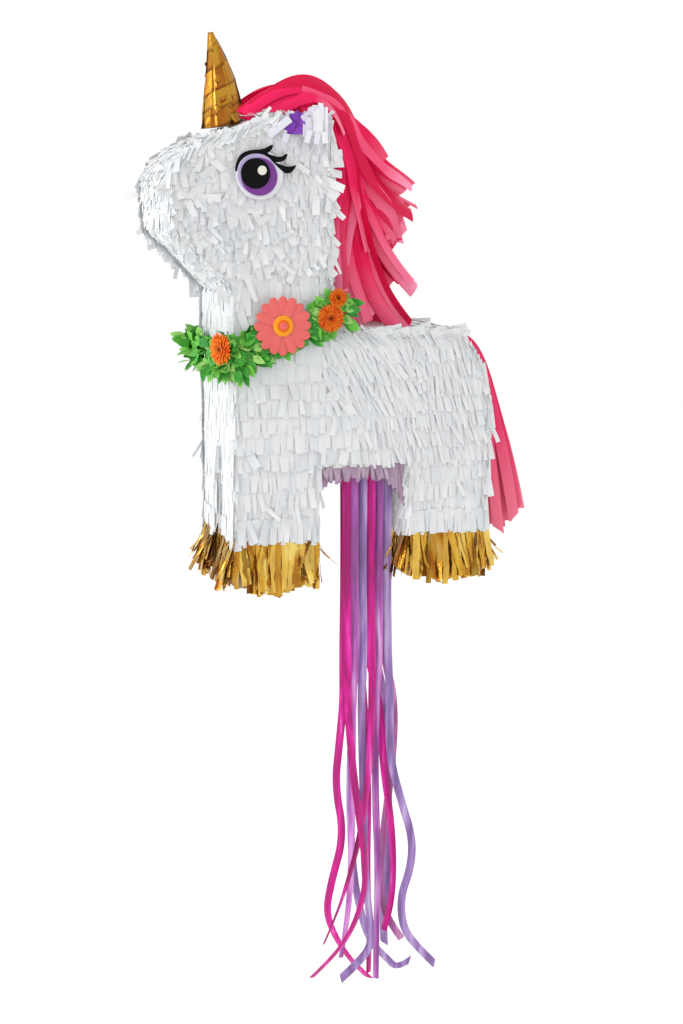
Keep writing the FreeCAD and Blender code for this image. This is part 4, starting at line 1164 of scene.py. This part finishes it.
def horn_radius(share):
    return HORN_FOOT + (HORN_TIP - HORN_FOOT) * share


def horn_point(share, angle, radius):
    """A point of the leaning cone; share runs from the base to the tip."""
    share, angle, radius = np.broadcast_arrays(share, angle, radius)
    local = np.stack([radius * np.cos(angle), radius * np.sin(angle), share * HORN_HEIGHT], axis=-1)
    cos, sin = math.cos(HORN_LEAN), math.sin(HORN_LEAN)
    x = local[..., 0] * cos - local[..., 2] * sin
    z = local[..., 0] * sin + local[..., 2] * cos
    return HORN_BASE + np.stack([x, local[..., 1], z], axis=-1)


def add_horn():
    """Flat facets of one foil strip wound round a cone, with loose ends standing out."""
    sheets = Sheets()
    share = np.linspace(0, 1, 30)[:, None]
    angle = np.linspace(0, 2 * math.pi, 37)[None, :]
    foot, tip = HORN_FOOT * HORN_CORE, HORN_TIP * HORN_CORE
    core = foot + (tip - foot) * share
    sheets.add(horn_point(share, angle, core)[None])
    count = HORN_WRAPS * HORN_FACETS
    u = np.linspace(0, 1, 4)[None, :]
    v = np.linspace(0, 1, 8)[:, None]
    for k in range(count):
        along = k / count
        start = 2 * math.pi * k / HORN_FACETS + rng.normal(0, 0.12) - 0.15
        low = along * 1.04 - 0.14 + rng.normal(0, 0.010)
        high = low + 1.25 / HORN_WRAPS
        slope = (0.11 + rng.normal(0, 0.03)) * (u - 0.5) * (1 - 0.7 * along)
        place = np.clip(low + (high - low) * v + slope, 0.0, 1.0)
        turn = start + u * (2 * math.pi / HORN_FACETS + 0.18)
        radius = horn_radius(place)
        flat = math.cos(math.pi / HORN_FACETS) / np.cos((u - 0.5) * 2 * math.pi / HORN_FACETS)
        corner = rng.normal(0, 0.0007, 4) * (1 - 0.8 * along)
        tilt = ((1 - u) * (1 - v) * corner[0] + u * (1 - v) * corner[1] + (1 - u) * v * corner[2]
                + u * v * corner[3])
        lift = 0.0012 * (1 - v) * (1 - 0.8 * along) + 0.0003
        bulge = 0.0055 * np.sin(math.pi * place) * np.maximum(0, np.cos(turn))
        radius = np.maximum(radius * (0.15 + 0.85 * flat) + lift + tilt + bulge, 0.0012)
        sheets.add(horn_point(place, turn, radius)[None])
    for share_at, angle_at, length, width in HORN_ENDS:
        base = horn_point(share_at, angle_at, horn_radius(share_at))[None]
        out = unit(base - horn_point(share_at, angle_at, 0.0)[None])
        down = turned(np.array([[0.1, 0, -1.0]]), out, [rng.normal(0, 0.6)])
        sheets.add(strips(base, down, out, width, length, 0.12, 0.25, rng.normal(0, 0.6), cup=0.15))
    for angle_at, width in HORN_TABS:
        base = horn_point(TAB_SHARE, angle_at, foot)[None]
        out = unit(base - horn_point(TAB_SHARE, angle_at, 0.0)[None])
        sheets.add(strips(base, np.array([[0.12, 0, -1.0]]), out, width, TAB_LENGTH,
                          0.30, 0.60, 0.2, cup=0.30, rows=7))
    sheets.build("horn_wrap", HORN_FOIL, "gold_foil", replaces=("horn",))


add_horn()


# ---- ears ------------------------------------------------------------------------------------
def leaf_sheet(corner, along, up, out, width, height, cup):
    """A pointed, hollow leaf standing on corner."""
    rows, columns = 9, 7
    v = np.linspace(0, 1, rows)[:, None]
    u = np.linspace(-1, 1, columns)[None, :]
    half = width / 2 * (1 - v ** 2.4) * (0.80 + 0.35 * v * (1 - v) * 4)
    grid = (corner + along * (u * half + width / 2)[..., None] + up * (v * height)[..., None]
            + out * (cup * (u ** 2 - 0.4) * (1 - 0.3 * v))[..., None])
    return grid[None]


EAR_PLACE, EAR_WIDTH, EAR_HEIGHT, EAR_TURN = (-0.013, 0.063, -0.024), 0.040, 0.034, 22
EAR_BACK_STRIPS = 26
# Strips of an ear as (glued end, free end, distance in front, width), ends as shares of the ear.
EAR_STRIPS = (
    ((0.47, 0.00), (0.47, 0.58), 1.6, 6.5), ((0.57, -0.04), (0.58, 0.72), 1.2, 7.0),
    ((0.68, -0.02), (0.69, 0.80), 1.5, 7.0), ((0.79, -0.04), (0.80, 0.86), 1.1, 7.0),
    ((0.88, 0.00), (0.90, 0.76), 1.4, 6.0), ((0.53, 0.05), (0.52, 0.50), 3.0, 6.5),
    ((0.64, 0.02), (0.64, 0.66), 2.6, 7.0), ((0.77, 0.05), (0.77, 0.72), 3.1, 6.5),
    ((-0.38, 0.04), (0.12, 0.46), 3.4, 7.5), ((0.60, 0.62), (0.38, 0.44), 4.0, 6.5),
    ((-0.02, -0.14), (0.04, 0.08), 3.4, 6.0), ((0.56, 0.16), (0.48, -0.16), 4.4, 5.5),
    ((0.74, 0.10), (0.70, -0.20), 4.2, 5.5), ((0.88, 0.12), (0.90, -0.18), 4.3, 5.5),
)


def add_ears():
    turn = math.radians(EAR_TURN)
    for name, side in SIDES:
        along = np.array([math.cos(turn), side * math.sin(turn), 0])
        out = np.array([-math.sin(turn), side * math.cos(turn), 0])
        corner = np.array([EAR_PLACE[0], side * EAR_PLACE[1], EAR_PLACE[2]])

        def place(u, v, rise):
            u, v, rise = np.broadcast_arrays(*map(np.atleast_1d, (u, v, rise)))
            return (corner + along * (u * EAR_WIDTH)[:, None] + UP * (v * EAR_HEIGHT)[:, None]
                    + out * rise[:, None])

        sheets = Sheets()
        sheets.add(leaf_sheet(place(0.34, 0.0, 0.0)[0], along, UP, -out, EAR_WIDTH * 0.60,
                              EAR_HEIGHT * 0.80, 0.003))
        for start, end, rise, width in EAR_STRIPS:
            base, tip = place(*start, rise * MM), place(*end, rise * MM)
            sheets.add(strips(base, tip - base, out, width * MM, np.linalg.norm(tip - base), 0.06,
                              rng.normal(0, 0.12), rng.normal(0, 0.25), cup=0.08, taper=0.1))
        amount = EAR_BACK_STRIPS
        back = place(draw_between(0.36, 0.92, amount), draw_between(0.0, 0.42, amount), -0.0042)
        upward = turned(np.broadcast_to(UP, back.shape), np.broadcast_to(-out, back.shape),
                        rng.normal(0, 0.3, amount))
        sheets.add(strips(back, upward, -out, draw_between(0.006, 0.010, amount),
                          draw_between(0.010, 0.015, amount), draw_between(0.0, 0.2, amount),
                          draw_between(-0.3, 0.1, amount), rng.normal(0, 0.3, amount)))
        sheets.build(name + "_ear_strips", EAR_TISSUE, "white_paper", replaces=(name + "_ear",))
        lining = Sheets()
        lining.add(leaf_sheet(place(-0.02, 0.06, 0.0012)[0], along, UP, -out, EAR_WIDTH * 0.56,
                              EAR_HEIGHT * 0.62, 0.002))
        for u, v, angle in ((0.05, 0.14, -0.5), (0.22, 0.30, 0.1), (0.38, 0.30, -0.3)):
            lining.add(strips(place(u, v, 0.0022), turned(UP[None], out[None], [angle * side]), out,
                              0.009, 0.010, 0.08, 0.2, 0.2))
        lining.build(name + "_ear_lining", PURPLE, "purple_paper", replaces=("ear_linings",))


add_ears()


# ---- eyes: lids with lashes ------------------------------------------------------------------
LASH_FACES = (0.0622, 0.0640)
# A lid and its three lashes, as (x, z) in millimetres.
LASH_OUTLINE = [
    (-59.6, -54.0), (-59.3, -49.3), (-57.3, -44.0), (-54.2, -39.6), (-48.9, -36.9),
    (-43.3, -35.6), (-37.7, -35.2), (-31.9, -34.0), (-28.2, -32.0), (-25.1, -31.2),
    (-25.8, -34.5), (-27.9, -36.9), (-29.9, -38.7), (-25.4, -40.4), (-20.9, -41.5),
    (-16.6, -41.2), (-14.1, -39.7), (-11.8, -38.9), (-12.5, -42.3), (-15.3, -45.0),
    (-19.3, -46.2), (-22.8, -46.3), (-18.5, -48.2), (-13.1, -49.8), (-7.6, -49.8),
    (-3.6, -49.0), (-6.1, -53.2), (-9.7, -55.8), (-14.0, -55.6), (-18.5, -52.4),
    (-22.6, -48.6), (-26.4, -44.9), (-30.4, -41.7), (-35.5, -39.6), (-40.5, -38.9),
    (-45.6, -39.5), (-50.9, -41.9), (-55.1, -45.8), (-57.3, -50.0), (-58.4, -54.0)]


def flat_cutout(outline, side, low, high):
    """A card cutout with smooth edges, between two distances from the middle plane."""
    builder = bmesh.new()
    near, far = [[builder.verts.new((x * MM, side * distance, z * MM)) for x, z in outline]
                 for distance in (low, high)]
    count = len(outline)
    for k in range(count):
        after = (k + 1) % count
        builder.faces.new((near[k], near[after], far[after], far[k]))
    builder.faces.new(far)
    builder.faces.new(near[::-1])
    bmesh.ops.recalc_face_normals(builder, faces=builder.faces[:])
    bmesh.ops.triangulate(builder, faces=[face for face in builder.faces if len(face.verts) > 4])
    mesh = bpy.data.meshes.new("cutout")
    builder.to_mesh(mesh)
    builder.free()
    return mesh


def rounded(outline):
    """Closed Catmull-Rom curve through an outline."""
    steps = 4
    points = np.array(outline)
    before, after, next_after = (np.roll(points, k, axis=0) for k in (1, -1, -2))
    result = []
    for t in np.linspace(0, 1, steps, endpoint=False):
        result.append(0.5 * (2 * points + (after - before) * t
                             + (2 * before - 5 * points + 4 * after - next_after) * t ** 2
                             + (3 * points - before - 3 * after + next_after) * t ** 3))
    return np.stack(result, axis=1).reshape(-1, 2)


def add_eyes():
    for name, side in SIDES:
        mesh = flat_cutout(rounded(LASH_OUTLINE), side, *LASH_FACES)
        finish_piece(mesh, name + "_lashes", BLACK_CARD, "shell", ("eye_lashes",))


add_eyes()


# ---- garland: leaves, daisies and gerberas ---------------------------------------------------
def leaves(base, heading, out, width, length, lean, curl, roll, cup):
    """Pointed leaves, folded along their middle rib."""
    rows = 7
    grids = strips(base, heading, out, width, length, lean, curl, roll, cup=0.0, rows=rows)
    middle = grids[:, :, 1:2]
    share = np.linspace(0, 1, rows)
    profile = np.sin(math.pi * share ** 0.75) ** 0.8 + 0.02
    side = grids[:, :, 2] - grids[:, :, 0]
    normal = unit(np.cross(side, np.gradient(grids[:, :, 1], axis=1)))
    fold = np.abs(np.asarray(cup))[:, None, None] * np.linalg.norm(side, axis=2, keepdims=True)
    edge = side * 0.5 * profile[None, :, None]
    lifted = normal * fold * profile[None, :, None]
    return np.concatenate([middle - (edge - lifted)[:, :, None], middle,
                           middle + (edge + lifted)[:, :, None]], axis=2)


# Distance from the middle plane of the leaves under a flower, the daisies and the gerberas.
FLOWER_PLANE, DAISY_Y, GERBERA_Y = 0.0686, 0.0692, 0.0694
DAISY, DAISY_RADIUS = (-0.0186, -0.192), 0.0280
SIDE_GERBERAS = ((0.027, -0.186, 0.0138), (0.034, -0.1675, 0.0094))
CHEST_GERBERA, CHEST_TURN = (-0.07385, -0.0587, -0.2126), math.radians(23)
CHEST_OUT = np.array([-math.cos(CHEST_TURN), -math.sin(CHEST_TURN), 0])
CHEST_GERBERA_RADIUS = 0.0165
SIDE_LEAVES, CHEST_LEAVES, LEFT_CORNER_LEAVES, RIGHT_CORNER_LEAVES, SPRAY_LEAVES = 300, 230, 45, 22, 5
# Sprays of leaves that hang or stand out of the band, as (place, heading).
SPRAYS = (
    ((-0.072, -0.056, -0.229), (-0.5, -0.4, -1.0)), ((-0.068, -0.060, -0.231), (-0.1, -0.4, -1.0)),
    ((-0.060, -0.066, -0.229), (0.1, -0.2, -1.0)), ((-0.050, -0.066, -0.225), (0.4, -0.3, -1.0)),
    ((-0.076, -0.040, -0.229), (-0.5, 0.1, -1.0)), ((-0.076, -0.018, -0.229), (-0.4, 0.2, -1.0)),
    ((-0.076, 0.008, -0.228), (-0.5, 0.1, -1.0)), ((-0.076, 0.030, -0.226), (-0.6, 0.2, -0.9)),
    ((-0.075, 0.046, -0.224), (-0.8, 0.5, -0.3)), ((-0.046, -0.067, -0.212), (0.8, -0.3, 0.1)),
    ((-0.046, -0.067, -0.218), (0.8, -0.3, -0.5)),
)


# The leaf band on a side: start, reach, lower and upper edge as (x values, heights), and the
# range of distances from the middle plane.
BAND_START_X, BAND_REACH = -0.078, 0.122
BAND_LOW = ((-0.078, -0.02, 0.042), (-0.226, -0.213, -0.190))
BAND_HIGH = ((-0.078, -0.04, 0.042), (-0.211, -0.200, -0.166))
BAND_DEPTH = (0.0615, 0.0660)


def garland_place(share):
    """Place, lower and upper edge of the leaf band at a share of its side length."""
    x = BAND_START_X + share * BAND_REACH
    return x, np.interp(x, *BAND_LOW), np.interp(x, *BAND_HIGH)


def scatter_leaves(sheets, base, out, heading_z):
    """Leaves that lie along the band, and point up or down where heading_z says so."""
    amount = len(base)
    across = unit(np.cross(out, UP))
    hand = rng.choice([-1.0, 1.0], amount)[:, None]
    heading = unit(across * hand * draw_between(0.3, 1.0, amount)[:, None]
                   + UP * (heading_z + rng.normal(0, 0.35, amount))[:, None])
    grids = leaves(base, heading, np.broadcast_to(out, base.shape),
                   draw_between(0.0065, 0.0115, amount), draw_between(0.011, 0.019, amount),
                   draw_between(-0.05, 0.40, amount), rng.normal(-0.15, 0.5, amount),
                   rng.normal(0, 0.5, amount), rng.normal(0, 0.22, amount))
    sheets.add(under_flowers(grids))


def under_flowers(grids):
    """Presses leaves in where a flower lies on top of them."""
    points = grids.reshape(-1, 3)
    for x, z, radius in ((*DAISY, DAISY_RADIUS), *SIDE_GERBERAS):
        near = np.hypot(points[:, 0] - x, points[:, 2] - z) < radius * 1.06
        high = near & (np.abs(points[:, 1]) > FLOWER_PLANE)
        plane = FLOWER_PLANE - rng.uniform(0, 0.002, high.sum())
        points[high, 1] = np.sign(points[high, 1]) * plane
    away = points - np.array(CHEST_GERBERA)
    depth = away @ CHEST_OUT
    reach = np.linalg.norm(away - depth[:, None] * CHEST_OUT, axis=1)
    high = (reach < CHEST_GERBERA_RADIUS) & (depth > -0.0005)
    points[high] -= CHEST_OUT * (depth[high] + 0.001)[:, None]
    return points.reshape(grids.shape)


def add_garland():
    sheets = Sheets()
    for side in (LEFT, RIGHT):
        amount = SIDE_LEAVES
        level = rng.uniform(0, 1, amount)
        x, low, high = garland_place(rng.uniform(0, 1, amount))
        base = np.stack([x, side * draw_between(*BAND_DEPTH, amount), low + (high - low) * level],
                        axis=1)
        scatter_leaves(sheets, base, np.array([0, side, 0.0]), 1.2 * level - 0.75)
    amount = CHEST_LEAVES
    level = rng.uniform(0, 1, amount)
    base = np.stack([draw_between(-0.0765, -0.0685, amount), draw_between(-0.058, 0.058, amount),
                     -0.227 + 0.017 * level], axis=1)
    scatter_leaves(sheets, base, np.array([-1.0, 0, 0]), 1.1 * level - 0.8)
    for side, amount in ((LEFT, LEFT_CORNER_LEAVES), (RIGHT, RIGHT_CORNER_LEAVES)):
        level = rng.uniform(0, 1, amount)
        base = np.stack([draw_between(-0.073, -0.064, amount), side * draw_between(0.056, 0.063, amount),
                         -0.227 + 0.018 * level], axis=1)
        scatter_leaves(sheets, base, unit(np.array([-1.0, side, 0])), 1.1 * level - 0.8)
    for place, heading in SPRAYS:
        amount = SPRAY_LEAVES
        base = np.array([place]) + rng.normal(0, 0.0025, (amount, 3))
        grids = leaves(base, unit(np.array(heading) + rng.normal(0, 0.28, (amount, 3))),
                       np.broadcast_to(unit(np.array([-0.6, place[1] * 12, 0.1])), base.shape),
                       0.0075, draw_between(0.012, 0.018, amount), 0.12,
                       rng.normal(0, 0.35, amount), rng.normal(0, 0.4, amount),
                       np.full(amount, 0.15))
        sheets.add(under_flowers(grids))
    sheets.build("garland_leaves", GREEN, "green_paper", replaces=("garland",))


def petals(centre, out, radius, inner, amount, width, pointed, lift, cup, start=0.0):
    """A ring of petals round centre, as grids."""
    out = unit(np.array(out, dtype=float))
    right = unit(np.cross(UP, out))
    up = np.cross(out, right)
    rows, columns = 15, 7
    share = np.linspace(0, 1, rows) ** 0.7
    if pointed:
        profile = np.sin(math.pi * np.clip(share * 0.94 + 0.06, 0, 1)) ** 0.65
    else:
        profile = np.clip(0.45 + 0.62 * share, 0, 1) * np.sqrt(np.clip(1 - share ** 4.5, 0, 1))
    grids = []
    for k in range(amount):
        angle = start + 2 * math.pi * k / amount
        radial = right * math.cos(angle) + up * math.sin(angle)
        across = up * math.cos(angle) - right * math.sin(angle)
        reach = radius * rng.uniform(0.96, 1.0)
        grid = np.zeros((rows, columns, 3))
        height = 0.0006 * (k % 2) + lift * share ** 1.5 + rng.normal(0, 0.0002)
        for column in range(columns):
            u = 2 * column / (columns - 1) - 1
            arch = cup * (1 - u * u) * np.sin(math.pi * share * 0.8)
            grid[:, column] = (np.asarray(centre) + radial * (inner + (reach - inner) * share)[:, None]
                               + across * (u * width / 2 * profile)[:, None]
                               + out * (height + arch)[:, None])
        grids.append(grid)
    return np.array(grids)


def button(centre, out, radius, height, around=28, ripple=0.06):
    """A low dome with a wavy rim."""
    rings = 6
    out = unit(np.array(out, dtype=float))
    right = unit(np.cross(UP, out))
    up = np.cross(out, right)
    angle = np.linspace(0, 2 * math.pi, around + 1)
    grid = np.zeros((rings, around + 1, 3))
    for ring in range(rings):
        share = ring / (rings - 1)
        reach = radius * math.sin(share * math.pi / 2) * (1 + ripple * share * np.cos(9 * angle))
        grid[ring] = (np.asarray(centre) + right * (reach * np.cos(angle))[:, None]
                      + up * (reach * np.sin(angle))[:, None]
                      + out * (height * math.cos(share * math.pi / 2)))
    return grid[None]


def gerbera(sheets, hearts, centre, out, radius):
    """Rings of narrow pointed petals round a small dark button."""
    out = np.asarray(out, dtype=float)
    for layer, amount in enumerate((26, 24, 20, 16)):
        size = radius * (1 - 0.19 * layer)
        sheets.add(petals(np.asarray(centre) + out * 0.0004 * layer, out, size, 0.0012, amount,
                          radius * 0.25, True, 0.0004 + 0.0005 * layer, 0.0003, start=0.11 * layer))
    hearts.add(button(np.asarray(centre) + out * 0.0016, out, radius * 0.11, 0.0010))


def add_flowers():
    coral, orange, yellow, hearts, dark = (Sheets() for _ in range(5))
    for side in (LEFT, RIGHT):
        out = np.array([0, side, 0.0])
        centre = np.array([DAISY[0], side * DAISY_Y, DAISY[1]])
        coral.add(petals(centre, out, DAISY_RADIUS, 0.004, 16, 0.0118, False, 0.0003, 0.0007))
        coral.add(button(centre - out * 0.0004, out, DAISY_RADIUS * 0.76, 0.0003, ripple=0.0))
        coral.add(button(centre + out * 0.0028, out, 0.0036, 0.0009, ripple=0.0))
        yellow.add(button(centre + out * 0.0014, out, 0.0096, 0.0012, around=48, ripple=0.0))
        hearts.add(button(centre + out * 0.0021, out, 0.0060, 0.0009, around=36, ripple=0.0))
        for x, z, radius in SIDE_GERBERAS:
            gerbera(orange, dark, (x, side * GERBERA_Y, z), out, radius)
    gerbera(orange, dark, np.array(CHEST_GERBERA) + CHEST_OUT * 0.0006, CHEST_OUT,
            CHEST_GERBERA_RADIUS)
    coral.build("daisy_petals", CORAL_CARD, "coral_card", replaces=("daisies",))
    orange.build("gerbera_petals", GERBERA, "orange_card", replaces=("gerberas",))
    yellow.build("daisy_centres", ORANGE_CARD, "orange_card")
    hearts.build("daisy_hearts", DEEP_ORANGE, "orange_card", replaces=("flower_centres",))
    dark.build("gerbera_hearts", FLOWER_HEART, "orange_card")


add_garland()
add_flowers()


# ---- mane and tail: long strips of crepe paper -----------------------------------------------
def crepe_strip(route, width, face, roll, end_cut, wave=0.045, cup=0.10):
    points = smooth_path(route, order=4, steps=6)
    return path_sheet(points, width, face, roll=roll, cup=cup, wave=wave, end_cut=end_cut)


def sheet_area(grids):
    """Area of some strips, each one its middle line times its width."""
    total = 0.0
    for grid in grids:
        middle = grid[0, :, 3]
        width = np.linalg.norm(grid[0, 1, -1] - grid[0, 1, 0])
        total += float(np.linalg.norm(np.diff(middle, axis=0), axis=1).sum()) * width
    return total


# Routes of the mane's strands in the middle of one side, as (x, z) in millimetres.
MANE_ROUTES = (
    ((-43, -4), (-29, 8), (-8, 21), (17, 23), (36, 15), (54, -1), (62, -19), (67, -43), (68, -66),
     (63, -87), (56, -105), (52, -137)),
    ((-34, 0), (-15, 12), (8, 25), (29, 22), (46, 9), (59, -8), (66, -29), (75, -54), (89, -72),
     (107, -87), (119, -94)),
    ((-25, 2), (-4, 14), (15, 21), (36, 15), (52, -2), (61, -25), (69, -52), (81, -70), (97, -85),
     (106, -115)),
    ((-17, 4), (2, 13), (23, 17), (40, 5), (54, -12), (62, -43), (71, -75), (83, -100),
     (100, -133), (120, -156)),
    ((-8, 5), (11, 13), (30, 11), (46, -2), (57, -28), (62, -61), (70, -92), (78, -120),
     (88, -150), (102, -178), (121, -198)),
    ((2, 5), (19, 13), (36, 8), (50, -6), (56, -34), (58, -70), (56, -105), (58, -137),
     (68, -167), (80, -188)),
    ((-31, -3), (-6, 5), (15, 13), (34, 10), (48, -1), (54, -23), (55, -54), (52, -84),
     (48, -113), (50, -142), (55, -163)),
    ((11, 3), (29, 8), (42, -2), (52, -21), (60, -48), (66, -76), (72, -103), (76, -126)),
    ((21, 18), (38, 11), (54, -2), (63, -14), (75, -21), (87, -33), (92, -42)),
    ((11, 20), (36, 15), (56, -3), (67, -26), (83, -44), (97, -57), (109, -63), (117, -69)),
    ((23, 13), (42, 4), (56, -16), (63, -46), (73, -79), (89, -96), (102, -105), (107, -117)),
    ((17, 9), (38, 1), (52, -25), (58, -61), (66, -94), (72, -126), (80, -154), (96, -184),
     (110, -196)),
    ((-40, -7), (-25, 0), (-10, 4), (6, 12), (24, 17), (42, 5), (50, -18)),
)


MANE_LAYERS = (0.0290, 0.0245, 0.0200, 0.0160)
BACK_STRANDS, TAIL_STRANDS = 14, 12


def strand(route, y, shift, sway, width, face, roll):
    """One strand: a route moved by shift and sway, its distance from the middle plane y."""
    points = []
    for k, (x, z) in enumerate(route):
        share = k / (len(route) - 1)
        points.append((x * MM + shift[0] * share + sway * math.sin(2.6 * k) * share,
                       y[0] + (y[1] - y[0]) * share,
                       z * MM + shift[1] * min(1.0, 2 * share)))
    return crepe_strip(points, width, face, roll, cup=rng.normal(0.22, 0.12),
                       end_cut=rng.uniform(-0.4, 0.4))


def add_mane():
    grids = []
    for side in (LEFT, RIGHT):
        for layer, y in enumerate(MANE_LAYERS):
            for route in MANE_ROUTES:
                shift = rng.normal(0, 0.0012 + 0.0012 * layer, 2) - (0.001, 0.0015 * layer)
                grids.append(strand(route, (side * y, side * (y + rng.normal(0, 0.003))), shift,
                                    rng.normal(0, 0.0016), rng.uniform(0.0125, 0.0185),
                                    (0.15, side, 0.30), rng.normal(0, 0.65, 2)))
    for k in range(BACK_STRANDS):
        route = [(x, z) for x, z in MANE_ROUTES[k % (len(MANE_ROUTES) - 1)] if x > 26]
        y = rng.uniform(-0.012, 0.012)
        grids.append(strand(route, (y, y + rng.normal(0, 0.006)), rng.normal(0, 0.003, 2) + (0.003, 0),
                            0.001, 0.016, (1.0, 0.1, 0.3), rng.normal(0, 0.4, 2)))
    sheets = Sheets()
    for grid in grids:
        sheets.add(grid)
    mane = sheets.build("mane_strands", PINK, "pink_crepe", replaces=("mane_crown", "mane_neck"))
    area = sheet_area(grids)


def add_tail():
    grids = []
    for k in range(TAIL_STRANDS):
        share = (k + 0.5) / TAIL_STRANDS
        y = -0.017 + 0.034 * ((k * 7) % TAIL_STRANDS) / (TAIL_STRANDS - 1)
        route = [(0.176, y * 0.6, -0.213), (0.186 + 0.003 * share, y * 0.7, -0.2175 + 0.003 * share),
                 (0.198 + 0.006 * share, y, -0.236), (0.204 + 0.016 * share, y, -0.284),
                 (0.211 + 0.029 * share, y, -0.338), (0.220 + 0.031 * share, y, -0.408 + 0.020 * share)]
        grids.append(crepe_strip(route, rng.uniform(0.012, 0.016), (0.1, -1 if y < 0 else 1, 0.1),
                                 rng.normal(0, 0.22, 2), wave=0.02, end_cut=rng.uniform(-0.6, 0.6)))
    sheets = Sheets()
    for grid in grids:
        sheets.add(grid)
    tail = sheets.build("tail_strands", CORAL, "pink_crepe", replaces=("tail",))
    area = sheet_area(grids)


add_mane()
add_tail()


# ---- loose strips on the back ----------------------------------------------------------------
def add_back_crest():
    """Strips that lie towards the rump and stand a little over the top edges of the back."""
    for name, side in SIDES:
        x, width = walk(NAPE_X + 0.030, RUMP_START_X - 0.004, 0.005, 0.009, overlap=0.40)
        amount = len(x)
        base = np.stack([x, side * (PANEL_Y + draw_between(0.0005, 0.0030, amount)),
                         BACK_Z - draw_between(0.0, 0.005, amount)], axis=1)
        heading = np.stack([np.ones(amount), np.zeros(amount), draw_between(0.0, 0.32, amount)],
                           axis=1)
        sheets = Sheets().add(strips(base, heading, np.array([0, side, 0.0]), width,
                                     draw_between(0.014, 0.021, amount),
                                     draw_between(-0.15, 0.05, amount), rng.normal(0, 0.15, amount),
                                     rng.normal(0, 0.3, amount)))
        sheets.build(name + "_back_crest", WHITE, "white_paper")


add_back_crest()


# ---- materials of the parts that keep their CAD shape ----------------------------------------
CAD_MATERIALS = {
    "hanger_plate": CARD, "hanger_eyelet": METAL, "ribbon_tape": TAPE, "eye_discs": WHITE_CARD,
    "eye_rings": LILAC_CARD, "eye_irises": PURPLE_CARD, "eye_pupils": BLACK_CARD,
    "eye_highlights": PUPIL_LIGHT,
}
for node_name in ("left_side_panel", "right_side_panel", "head_strip", "jaw_strip", "chest_strip",
                  "nape_strip", "back_strip", "rump_strip", "belly_strip", "front_left_leg",
                  "front_right_leg", "rear_left_leg", "rear_right_leg", "fill_door", "trap_door"):
    CAD_MATERIALS[node_name] = CARD
for node_name, material in CAD_MATERIALS.items():
    for material_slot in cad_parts[node_name].material_slots:
        material_slot.material = material
